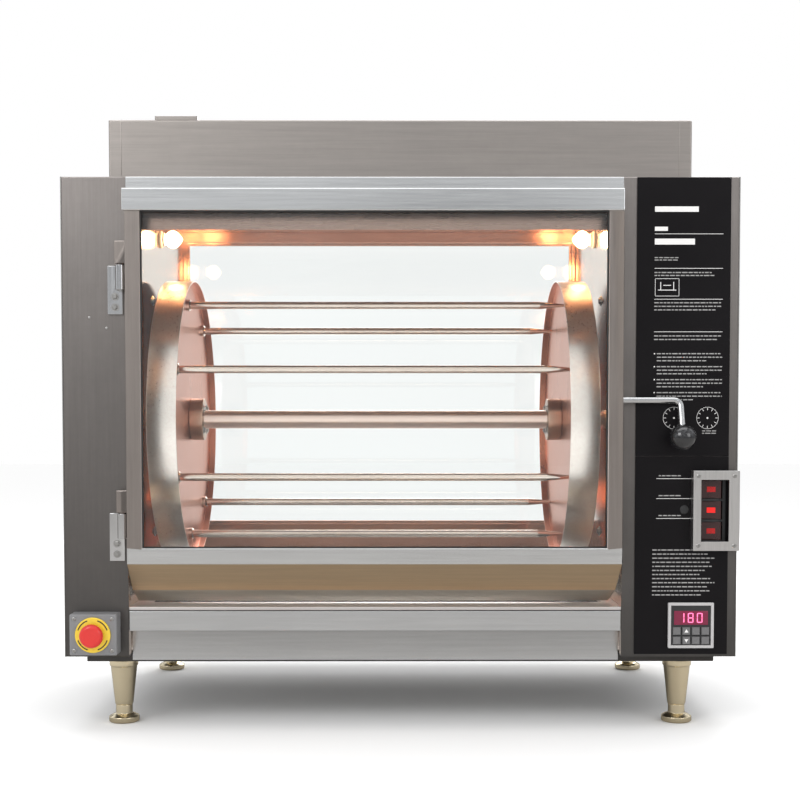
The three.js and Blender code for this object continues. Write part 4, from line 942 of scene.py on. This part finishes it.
def hood():
    """Hood with a welded seam near each end, front, back and top."""
    folded("hood", STEEL_X, fold=3.0 * MM)
    lo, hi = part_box("hood")
    top = hi.z - 7 * MM
    seams = []
    strap = 1.2 * MM
    from_end = 22 * MM
    for x in (lo.x + from_end, hi.x - from_end):
        for y0, y1 in ((lo.y - 0.5 * MM, lo.y + 0.4 * MM), (hi.y - 0.4 * MM, hi.y + 0.5 * MM)):
            seams.append(((x - strap / 2, y0, lo.z + 1 * MM), (x + strap / 2, y1, top - 2.5 * MM)))
        seams.append(((x - strap / 2, lo.y + 3 * MM, top - 0.4 * MM),
                      (x + strap / 2, hi.y - 3 * MM, top + 0.5 * MM)))
    new_piece("hood_seams", boxes_mesh("hood_seams", seams, 0.25 * MM), "root", "stainless", STEEL_X)


# ------------------------------------------------------------------ door, hinges and handle
def door():
    """Door frame in four finishes, the apron's brown being a painted reflection; both panes, glazing bead and
    gasket.
    """
    lo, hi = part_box("door_glass")
    grip = 6 * MM
    opening_low, opening_high = lo.z + grip, hi.z - grip
    apron_top = opening_low - 27 * MM
    crease = apron_top - 48 * MM

    def part_of_door(centre, _normal):
        if centre.z > opening_high:
            return 1
        if centre.z < crease:
            return 3
        # the apron band, whose brown is a painted reflection
        if centre.z < apron_top:
            return 2
        return 1 if centre.z < opening_low else 0

    up = Vector((0, 0, 1))
    folded("door_frame", [STILE_STEEL, RAIL_STEEL, APRON_PAINTED_REFLECTION, LIP_STEEL], fold=2.0 * MM,
           cuts=[(Vector((0, 0, z)), up) for z in (opening_low, opening_high)], pick=part_of_door)
    NODES["door_glass"].material_slots[0].material = GLASS
    NODES["rear_glass"].material_slots[0].material = REAR_GLASS
    x0, x1, z0, z1 = lo.x + grip, hi.x - grip, opening_low, opening_high
    bead = 2.6 * MM
    near, far = lo.y - 3 * MM, lo.y - 0.1 * MM
    glazing = [((x0 - 0.1 * MM, near, z0), (x0 + bead, far, z1)),
               ((x1 - bead, near, z0), (x1 + 0.1 * MM, far, z1)),
               ((x0 + bead, near, z0 - 0.1 * MM), (x1 - bead, far, z0 + bead)),
               ((x0 + bead, near, z1 - bead), (x1 - bead, far, z1 + 0.1 * MM))]
    new_piece("glazing_bead", boxes_mesh("glazing_bead", glazing, 0.6 * MM), "door", "black_plastic",
              SEAL_RUBBER)
    bead = 3.2 * MM
    back = hi.y + 1.5 * MM
    gasket = [((x0 - bead, hi.y, z0 - bead), (x1 + bead, back, z0)),
              ((x0 - bead, hi.y, z1), (x1 + bead, back, z1 + bead)),
              ((x0 - bead, hi.y, z0), (x0, back, z1)), ((x1, hi.y, z0), (x1 + bead, back, z1))]
    new_piece("door_gasket", boxes_mesh("door_gasket", gasket, 0.5 * MM), "door", "black_plastic",
              SEAL_RUBBER)


def hinges():
    """Lift-off hinges, each with two bolts in the leaf on the cabinet."""
    for place in ("upper", "lower"):
        name = "hinge_" + place
        folded(name, CHROME, fold=0.9 * MM, edge=0.5 * MM, wide=2 * MM)
        lo = low(name)
        x = lo.x + 13 * MM
        places = [(x, HINGE_LEAF_FRONT - 0.4 * MM, z) for z in (lo.z + 12 * MM, lo.z + 30 * MM)]
        fasteners(name + "_bolts", places, (0, -1, 0), "root", "bright_steel", SCREW_METAL, 4.5 * MM,
                  3.2 * MM, "hex", seed=3)


def handle():
    """Latch lever bent down towards its ball knob."""
    lo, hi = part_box("door_handle")
    knob = middle("handle_knob")
    radius = 5.75 * MM
    start = Vector((lo.x, LEVER_Y, LEVER_Z))
    corner = Vector((hi.x - radius, LEVER_Y, LEVER_Z))
    down = (knob - corner).normalized()
    knob_radius = (high("handle_knob").z - low("handle_knob").z) / 2
    bend = 13 * MM
    first, last = corner - Vector((bend, 0, 0)), corner + down * bend
    steps = 14
    curve = [first * (1 - t) ** 2 + corner * 2 * t * (1 - t) + last * t ** 2
             for t in (i / steps for i in range(steps + 1))]
    tip = knob - down * (knob_radius - 12 * MM)
    lever = swept_mesh("handle_lever", [start, *curve, tip], radius, 28)
    new_piece("handle_lever", lever, "latch", "bright_steel", CHROME, "door_handle")
    profile = [(0, -knob_radius)]
    rings = 28
    for i in range(1, rings):
        turn = math.pi * i / rings - math.pi / 2
        profile.append((knob_radius * math.cos(turn), knob_radius * math.sin(turn)))
    profile.append((0, knob_radius))
    ball = turned_mesh("handle_ball", profile, "z", knob, 56, 80)
    new_piece("handle_ball", ball, "latch", "black_plastic", BLACK_GLOSS, "handle_knob")


# ------------------------------------------------------------------ turning spit frame
def rotor():
    """Axle with hubs, two rimmed discs and the ring of spits."""
    axle = middle("rotor_axle")
    lo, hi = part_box("rotor_axle")
    journal, shaft, hub = 12.5 * MM, 17.5 * MM, 40 * MM
    hub_length = 26 * MM
    left_plate = high("rotor_disc_left").x - DISC_LIP
    right_plate = low("rotor_disc_right").x + DISC_LIP
    bay_left, bay_right = high("bay_wall_left").x, low("bay_wall_right").x
    shoulder = 12 * MM
    line = [(0, lo.x), (journal, lo.x), (journal, bay_left + shoulder), (shaft, bay_left + shoulder),
            (shaft, left_plate + RUNNING_GAP), (hub, left_plate + RUNNING_GAP),
            (hub, left_plate + hub_length),
            (shaft, left_plate + hub_length), (shaft, right_plate - hub_length),
            (hub, right_plate - hub_length), (hub, right_plate - RUNNING_GAP),
            (shaft, right_plate - RUNNING_GAP),
            (shaft, bay_right - shoulder), (journal, bay_right - shoulder), (journal, hi.x), (0, hi.x)]
    centre = (0, axle.y, axle.z)
    turned = turned_mesh("rotor_axle_turned", rounded_profile(line, 1.5 * MM), "x", centre)
    new_piece("rotor_axle_turned", turned, "rotor", "rotor_steel", AXLE_STEEL, "rotor_axle")
    turned.materials.append(HUB_STEEL)
    for face in turned.polygons:
        out = math.hypot(face.center.y - axle.y, face.center.z - axle.z)
        face.material_index = 1 if out > shaft + 2 * MM else 0
    for side, outward, plate in (("left", -1, left_plate), ("right", 1, right_plate)):
        name = "rotor_disc_" + side
        radius = (high(name).z - low(name).z) / 2
        sheet = 2 * MM
        rim = 40 * MM * outward
        bore = shaft + RUNNING_GAP
        outer = plate + outward * sheet
        lip = plate - outward * DISC_LIP
        profile = rounded_profile([
            (bore, plate), (radius - sheet, plate), (radius - sheet, lip), (radius, lip),
            (radius, plate + rim), (radius - sheet, plate + rim), (radius - sheet, outer), (bore, outer)],
            0.9 * MM)
        profile.append(profile[0])
        mesh = turned_mesh(name + "_spun", profile, "x", centre, 160)
        new_piece(name + "_spun", mesh, "rotor", "rotor_steel", ROTOR_STEEL, name)
        # painted lamp light: the flat plate faces take the pink steel, the rim keeps the rotor steel
        mesh.materials.append(PLATE_LAMPLIGHT_STEEL)
        for face in mesh.polygons:
            flat = math.hypot(face.center.y - axle.y, face.center.z - axle.z) < radius - sheet * 0.8
            face.material_index = 1 if flat else 0
        hub_face = plate - outward * hub_length
        turns = [math.pi / 4 + i * math.pi / 2 for i in range(4)]
        bolts = [(hub_face, axle.y + 29 * MM * math.cos(t), axle.z + 29 * MM * math.sin(t)) for t in turns]
        fasteners(name + "_hub_bolts", bolts, (-outward, 0, 0), "rotor", "bright_steel", SCREW_METAL,
                  5.5 * MM, 4.5 * MM, "hex", seed=5)
    spits = 7
    spit_low, spit_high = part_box("spit_1")
    spit_centre = (spit_low + spit_high) / 2
    start = math.atan2(spit_centre.z - axle.z, axle.y - spit_centre.y)
    circle = math.hypot(spit_centre.y - axle.y, spit_centre.z - axle.z)
    mesh = baked("spit_ring", SPITS, {
        "Count": spits, "Circle Radius": circle, "Start Angle": start, "Axle Height": axle.z,
        "Shank Radius": (spit_high.z - spit_low.z) / 2, "Tip Radius": 1.4 * MM,
        "From": left_plate - 6 * MM, "Point From": right_plate - 46 * MM, "To": spit_high.x,
        "Finish": SPIT_METAL})
    new_piece("spit_ring", mesh, "rotor", "bright_steel", None, *["spit_%d" % (i + 1) for i in range(spits)])
    collars = []
    for i in range(spits):
        turn = start + i * 2 * math.pi / spits
        y, z = axle.y - circle * math.cos(turn), axle.z + circle * math.sin(turn)
        collars.append((left_plate + 3 * MM, y, z))
    fasteners("spit_collars", collars, (1, 0, 0), "rotor", "bright_steel", SPIT_METAL, 11 * MM, 7 * MM,
              "rivet", seed=2)


# ------------------------------------------------------------------ lamps and heater
def lamps():
    """Ceramic holder and pear-shaped bulb on each bay wall."""
    for side, inward in (("left", 1), ("right", -1)):
        name = "lamp_" + side
        lo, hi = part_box(name)
        wall = lo.x if side == "left" else hi.x
        centre = (0, (lo.y + hi.y) / 2, (lo.z + hi.z) / 2)
        at = lambda radius, distance: (radius, wall + inward * distance)
        length = hi.x - lo.x
        holder = rounded_profile([
            at(0, 0), at(16.5 * MM, 0), at(16.5 * MM, 4 * MM), at(13 * MM, 6 * MM), at(13 * MM, 9 * MM),
            at(11 * MM, 10 * MM), at(0, 10 * MM)], 0.8 * MM)
        new_piece(name + "_holder", turned_mesh(name + "_holder", holder, "x", centre, 40), "root",
                  "lamp_glass", CERAMIC, name)
        widest = (hi.z - lo.z) / 2
        bulb = [at(0, 9.6 * MM), at(9 * MM, 9.6 * MM)]
        rings = 18
        start, end = 12 * MM, length
        for i in range(rings + 1):
            t = i / rings
            bulge = math.sin(math.pi * min(1.0, 0.16 + 0.84 * t)) ** 0.75
            bulb.append(at(max(widest * bulge, 0.0) if i < rings else 0.0, start + (end - start) * t))
        new_piece(name + "_bulb", turned_mesh(name + "_bulb", bulb, "x", centre, 40, 60), "root",
                  "lamp_glass", LAMP_LIT)


def heater():
    """Hairpin element with saddle clips over each of its legs."""
    lo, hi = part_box("heating_element")
    radius = (hi.z - lo.z) / 2
    spread = (hi.y - lo.y) / 2 - radius
    z = (lo.z + hi.z) / 2
    bend = hi.x - radius - spread
    turns = 28
    path = [(lo.x, -spread, z)]
    path += [(bend + spread * math.sin(i * math.pi / turns), -spread * math.cos(i * math.pi / turns), z)
             for i in range(turns + 1)]
    path += [(lo.x, spread, z)]
    new_piece("heater_rod", swept_mesh("heater_rod", path, radius, 20), "root", "dark_steel",
              HEATER_METAL, "heating_element")
    clip_places = (-350 * MM, -100 * MM, 150 * MM)
    clips = []
    for x in clip_places:
        for y in (-spread, spread):
            top = z + radius + 0.2 * MM
            clips.append(((x - 6 * MM, y - radius - 8 * MM, top),
                          (x + 6 * MM, y + radius + 8 * MM, top + 1 * MM)))
            for side in (-1, 1):
                edge = y + side * (radius + 7 * MM)
                clips.append(((x - 6 * MM, edge - 0.8 * MM, z - radius - 0.2 * MM),
                              (x + 6 * MM, edge + 0.8 * MM, top + 0.5 * MM)))
    new_piece("heater_clips", boxes_mesh("heater_clips", clips, 0.2 * MM), "root", "bright_steel",
              SCREW_METAL)


def drive():
    """Gearmotor, sprockets, chain, bearings and the gland at the back."""
    folded("gearmotor", MOTOR_PAINT, fold=2.0 * MM, edge=0.6 * MM)
    fine = 2 * MM
    for name in ("rotor_sprocket", "motor_sprocket", "drive_chain"):
        folded(name, DARK_STEEL, fold=0.5 * MM, edge=0.3 * MM, wide=fine)
    for name in ("bearing_left", "bearing_right"):
        folded(name, DARK_STEEL, fold=1.0 * MM, edge=0.5 * MM)
    folded("cable_gland", BLACK_MATT, fold=0.8 * MM, edge=0.4 * MM)


# ------------------------------------------------------------------ printed control panel
def from_corner(panel):
    """Maps millimetres right of and below a panel's top left corner to the oven's frame."""
    lo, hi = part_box(panel)
    return lambda x, down: (lo.x + x * MM, hi.z - down * MM), lo.y


def word_bars(draw, x0, x1, down, height, gap=1.6):
    """Row of short bars that stands for one printed line."""
    bars = []
    x = x0
    while x < x1 - 1.5:
        length = min(draw.uniform(3.0, 9.5), x1 - x)
        bars.append((x, down - height / 2, x + length, down + height / 2))
        x += length + gap
    return bars


def printed(name, panel, bars, material):
    """Raised print: thin plates on the panel's face, each from (x0, down0, x1, down1) in mm."""
    place, front = from_corner(panel)
    boxes = []
    for x0, down0, x1, down1 in bars:
        left, top = place(x0, down0)
        right, bottom = place(x1, down1)
        boxes.append(((left, front - PRINT_PROUD, bottom), (right, front + PRINT_SUNK, top)))
    return new_piece(name, boxes_mesh(name, boxes), "root", "black_panel", material)


def frame_bars(x0, down0, x1, down1, line):
    return [(x0, down0, x1, down0 + line), (x0, down1 - line, x1, down1),
            (x0, down0, x0 + line, down1), (x1 - line, down0, x1, down1)]


def printed_dial(work, centre, radius, front, ticks=12, line=0.55 * MM):
    """Printed ring with ticks outside it and a centre dot."""
    sides = 48
    x, z = centre
    rings = []
    for r in (radius - line, radius):
        rings.append([(x + r * math.cos(2 * math.pi * i / sides), z + r * math.sin(2 * math.pi * i / sides))
                      for i in range(sides)])
    faces = []
    for i in range(sides):
        j = (i + 1) % sides
        faces.append([rings[0][i], rings[0][j], rings[1][j], rings[1][i]])
    for i in range(ticks):
        turn = 2 * math.pi * i / ticks
        out = Vector((math.cos(turn), math.sin(turn)))
        side = Vector((-out.y, out.x)) * line * 0.8
        inner, outer = out * radius * 0.72, out * radius * 0.93
        faces.append([(x + p.x, z + p.y) for p in (inner - side, outer - side, outer + side, inner + side)])
    dot = 1.6 * MM
    turns = [math.pi * i / 6 for i in range(12)]
    faces.append([(x + dot * math.cos(turn), z + dot * math.sin(turn)) for turn in turns])
    for corners in faces:
        plate_into(work, corners, front)


def plate_into(work, corners, front):
    """Thin closed plate over a flat outline of (x, z) points on the panel's face."""
    near = [work.verts.new((u, front - PRINT_PROUD, v)) for u, v in corners]
    far = [work.verts.new((u, front + PRINT_SUNK, v)) for u, v in corners]
    made = [work.faces.new(near), work.faces.new(far[::-1])]
    for i in range(len(corners)):
        j = (i + 1) % len(corners)
        made.append(work.faces.new((near[j], near[i], far[i], far[j])))
    bmesh.ops.recalc_face_normals(work, faces=made)


def panels():
    """Both black panels with their print, laid out in millimetres from each one's top left."""
    folded("panel_upper", PANEL_BLACK, fold=0.6 * MM, edge=0.4 * MM)
    folded("panel_lower", PANEL_BLACK, fold=0.6 * MM, edge=0.4 * MM)
    draw = random.Random(11)
    # headings, rules between the blocks, then a framed sign
    white = [(30, 49, 104, 58), (30, 83, 52, 90), (30, 94.6, 146, 95.4), (30, 103, 98, 113),
             (30, 152.6, 146, 153.4), (30, 204.6, 146, 205.4), (30, 259.6, 146, 260.4)]
    white += frame_bars(31, 170, 72, 200, 0.7)
    white += [(36, 189, 67, 190.2), (40, 176, 41.2, 189), (62, 176, 63.2, 189), (45, 181, 58, 182.2)]
    # small print: short lines, long lines, four listed notes, then a caption
    grey = []
    for down in (135, 139):
        grey += word_bars(draw, 30, 72, down, 1.6)
    for down in (160, 165, 211, 217, 223, 267, 273):
        grey += word_bars(draw, 30, draw.uniform(128, 146), down, 1.8)
    for first in (297, 319, 341, 363):
        white.append((30, first - 1, 32, first + 1))
        for line in range(3):
            grey += word_bars(draw, 35, 146 if line < 2 else draw.uniform(80, 120), first + line * 6, 1.8)
    grey += word_bars(draw, 113, 137, 428, 1.6) + word_bars(draw, 113, 137, 432, 1.6)
    printed("panel_headings", "panel_upper", white, PRINT_WHITE)
    printed("panel_captions", "panel_upper", grey, PRINT_GREY)
    place, front = from_corner("panel_upper")
    work = bmesh.new()
    for x in (65, 122):
        printed_dial(work, place(x, 406), 18.7 * MM, front)
    new_piece("panel_dials", mesh_from(work, "panel_dials"), "root", "black_panel", PRINT_WHITE)
    leaders = [(36, down - 0.4, 97, down + 0.4) for down in (38, 72, 106)]
    printed("switch_leaders", "panel_lower", leaders, PRINT_WHITE)
    # a label over each switch line, and a block of notes under the switches
    notes = []
    for down in (33, 67, 101):
        notes += word_bars(draw, 40, 78, down, 1.8)
    for line in range(12):
        notes += word_bars(draw, 30, draw.uniform(110, 146), 160 + line * 7, 1.9)
    printed("switch_captions", "panel_lower", notes, PRINT_GREY)
    place, front = from_corner("panel_lower")
    x, z = place(84, 91)
    plug = rounded_profile([(0, front - 2.2 * MM), (6.2 * MM, front - 2.2 * MM), (7.7 * MM, front - 1 * MM),
                            (7.7 * MM, front + 0.5 * MM), (0, front + 0.5 * MM)], 0.6 * MM)
    new_piece("panel_plug", turned_mesh("panel_plug", plug, "y", (x, 0, z), 40), "root", "black_plastic",
              BLACK_MATT)


def lens_on(name):
    """Lit lens in the middle of a rocker's face, following the shallow V of that face."""
    corners = [vertex.co for vertex in NODES[name].data.vertices]
    lo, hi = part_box(name)
    centre = (lo + hi) / 2
    left = min((p for p in corners if p.x < centre.x - 8 * MM), key=lambda p: p.y)
    right = min((p for p in corners if p.x > centre.x + 8 * MM), key=lambda p: p.y)
    dip = min((p for p in corners if abs(p.x - centre.x) < 4 * MM), key=lambda p: p.y)
    reach = 0.42
    proud = Vector((0, -0.7 * MM, 0))
    sunk = Vector((0, 0.8 * MM, 0))
    face = [dip.lerp(left, reach), dip.copy(), dip.lerp(right, reach)]
    outline = [p + proud for p in face] + [p + sunk for p in reversed(face)]
    half_height = 4.5 * MM
    work = bmesh.new()
    rings = [[work.verts.new((p.x, p.y, centre.z + side * half_height)) for p in outline] for side in (-1, 1)]
    work.faces.new(rings[0])
    work.faces.new(rings[1][::-1])
    for i in range(len(outline)):
        k = (i + 1) % len(outline)
        work.faces.new((rings[0][i], rings[1][i], rings[1][k], rings[0][k]))
    bmesh.ops.recalc_face_normals(work, faces=work.faces)
    finish = ROCKER_LENS if name == "rocker_2" else ROCKER_LIT
    new_piece(name + "_lens", mesh_from(work, name + "_lens"), body_of(name), "lit_red", finish)


def switches():
    """Three rockers in their housing, behind a folded guard with a screw in each corner."""
    NODES["switch_housing"].material_slots[0].material = BLACK_MATT
    for name in ("rocker_1", "rocker_2", "rocker_3"):
        folded(name, ROCKER_DARK, fold=1.2 * MM, edge=0.5 * MM)
        lens_on(name)
    folded("switch_guard", GUARD_STEEL, fold=2.0 * MM)
    lo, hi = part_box("switch_guard")
    inset = 9 * MM
    corners = [(x, lo.y - 0.2 * MM, z) for x in (lo.x + inset, hi.x - inset)
               for z in (lo.z + inset, hi.z - inset)]
    fasteners("guard_screws", corners, (0, -1, 0), "root", "bright_steel", SCREW_METAL, 3.6 * MM, 1.6 * MM,
              seed=7)


SEGMENTS = {"0": "abcdef", "1": "bc", "8": "abcdefg"}


def digit_bars(digit, x, z, width, height, line):
    """Boxes of a seven-segment digit whose lower left corner is (x, z)."""
    half = height / 2
    spans = {
        "a": (x + line, z + height - line, x + width - line, z + height),
        "b": (x + width - line, z + half + line * 0.3, x + width, z + height - line * 0.5),
        "c": (x + width - line, z + line * 0.5, x + width, z + half - line * 0.3),
        "d": (x + line, z, x + width - line, z + line),
        "e": (x, z + line * 0.5, x + line, z + half - line * 0.3),
        "f": (x, z + half + line * 0.3, x + line, z + height - line * 0.5),
        "g": (x + line, z + half - line / 2, x + width - line, z + half + line / 2)}
    return [spans[segment] for segment in SEGMENTS[digit]]


def controller():
    """Temperature controller: display with a number, and a pad of eight keys."""
    folded("controller_body", GREY_PLASTIC, fold=1.6 * MM, edge=0.8 * MM)
    folded("controller_face", BLACK_MATT, fold=0.5 * MM, edge=0.4 * MM)
    lo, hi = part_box("controller_body")
    face = low("controller_face").y
    left, top = lo.x + 10 * MM, hi.z - 14 * MM
    right, bottom = lo.x + 68 * MM, hi.z - 38 * MM
    window = [((left, face - 0.4 * MM, bottom), (right, face + 0.2 * MM, top))]
    new_piece("display_window", boxes_mesh("display_window", window, 0.3 * MM), "root", "lit_red",
              DISPLAY_RED)
    digit_width, digit_height, line = 9.5 * MM, 17 * MM, 1.6 * MM
    boxes = []
    for i, digit in enumerate("180"):
        x = left + 8 * MM + i * 15.5 * MM
        for x0, z0, x1, z1 in digit_bars(digit, x, bottom + 3.5 * MM, digit_width, digit_height, line):
            boxes.append(((x0, face - 0.75 * MM, z0), (x1, face - 0.2 * MM, z1)))
    new_piece("display_digits", boxes_mesh("display_digits", boxes), "root", "lit_red", DIGIT_LIT)
    centre_x = (lo.x + hi.x) / 2
    centre_z = hi.z - 56.5 * MM
    mesh = baked("controller_keys", KEYS, {
        "Columns": 4, "Rows": 2, "Pitch": 16.2 * MM, "Key Size": 13.5 * MM, "Key Height": 2.4 * MM,
        "Centre": Vector((centre_x, face - 0.2 * MM, centre_z)), "Finish": KEY_GREY})
    new_piece("controller_keys", mesh, "root", "grey_plastic")
    work = bmesh.new()
    for row, up in ((0.5, 1), (-0.5, -1)):
        x, z = centre_x - 8.1 * MM, centre_z + row * 16.2 * MM
        size = 3.4 * MM
        foot = z - up * size * 0.7
        plate_into(work, [(x - size, foot), (x + size, foot), (x, z + up * size)], face - 2.6 * MM)
    new_piece("key_arrows", mesh_from(work, "key_arrows"), "root", "grey_plastic", PRINT_WHITE)


# ------------------------------------------------------------------ emergency stop
def estop():
    """Emergency stop: grey box, yellow plate with four arcs, and a dished red mushroom."""
    folded("estop_box", ESTOP_GREY, fold=2.5 * MM, edge=0.8 * MM)
    lo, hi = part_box("estop_box")
    inset = 8 * MM
    corners = [(x, lo.y - 0.2 * MM, z) for x in (lo.x + inset, hi.x - inset)
               for z in (lo.z + inset, hi.z - inset)]
    fasteners("estop_screws", corners, (0, -1, 0), "root", "estop_grey", SCREW_METAL, 3.2 * MM, 1.2 * MM,
              seed=9)
    centre = middle("estop_ring")
    place = (centre.x, 0, centre.z)
    front, back = low("estop_ring").y, high("estop_ring").y
    radius = (high("estop_ring").x - low("estop_ring").x) / 2
    bore = 12.8 * MM
    ring = rounded_profile([(bore, front), (radius - 1 * MM, front), (radius, front + 1 * MM),
                            (radius, back), (bore, back)], 0.5 * MM)
    ring.append(ring[0])
    new_piece("estop_plate", turned_mesh("estop_plate", ring, "y", place, 72), "root", "yellow_plastic",
              ESTOP_YELLOW, "estop_ring")
    work = bmesh.new()
    steps = 8
    for quarter in range(4):
        middle_turn = math.pi / 4 + quarter * math.pi / 2
        arc = [middle_turn + math.radians(26) * (i / steps - 0.5) * 2 for i in range(steps + 1)]
        outer = [(centre.x + 27 * MM * math.cos(t), centre.z + 27 * MM * math.sin(t)) for t in arc]
        inner = [(centre.x + 25 * MM * math.cos(t), centre.z + 25 * MM * math.sin(t)) for t in arc]
        plate_into(work, outer + inner[::-1], front)
    new_piece("estop_marks", mesh_from(work, "estop_marks"), "root", "black_plastic", BLACK_MATT)
    head = (high("estop_button").x - low("estop_button").x) / 2
    near = low("estop_button").y
    rim_back = front - 8.2 * MM
    button = rounded_profile([
        (0, near + 1.2 * MM), (head * 0.45, near + 0.6 * MM), (head * 0.72, near),
        (head - 2 * MM, near + 2 * MM), (head, near + 6 * MM), (head, rim_back), (10.7 * MM, rim_back),
        (10.7 * MM, high("estop_button").y), (0, high("estop_button").y)], 1.6 * MM)
    new_piece("estop_mushroom", turned_mesh("estop_mushroom", button, "y", place, 72, 50), "estop",
              "red_plastic", ESTOP_RED, "estop_button")


look()
studio()
legs()
cabinets()
cabinet_rivets()
hood()
door()
hinges()
handle()
rotor()
lamps()
heater()
drive()
panels()
switches()
controller()
estop()
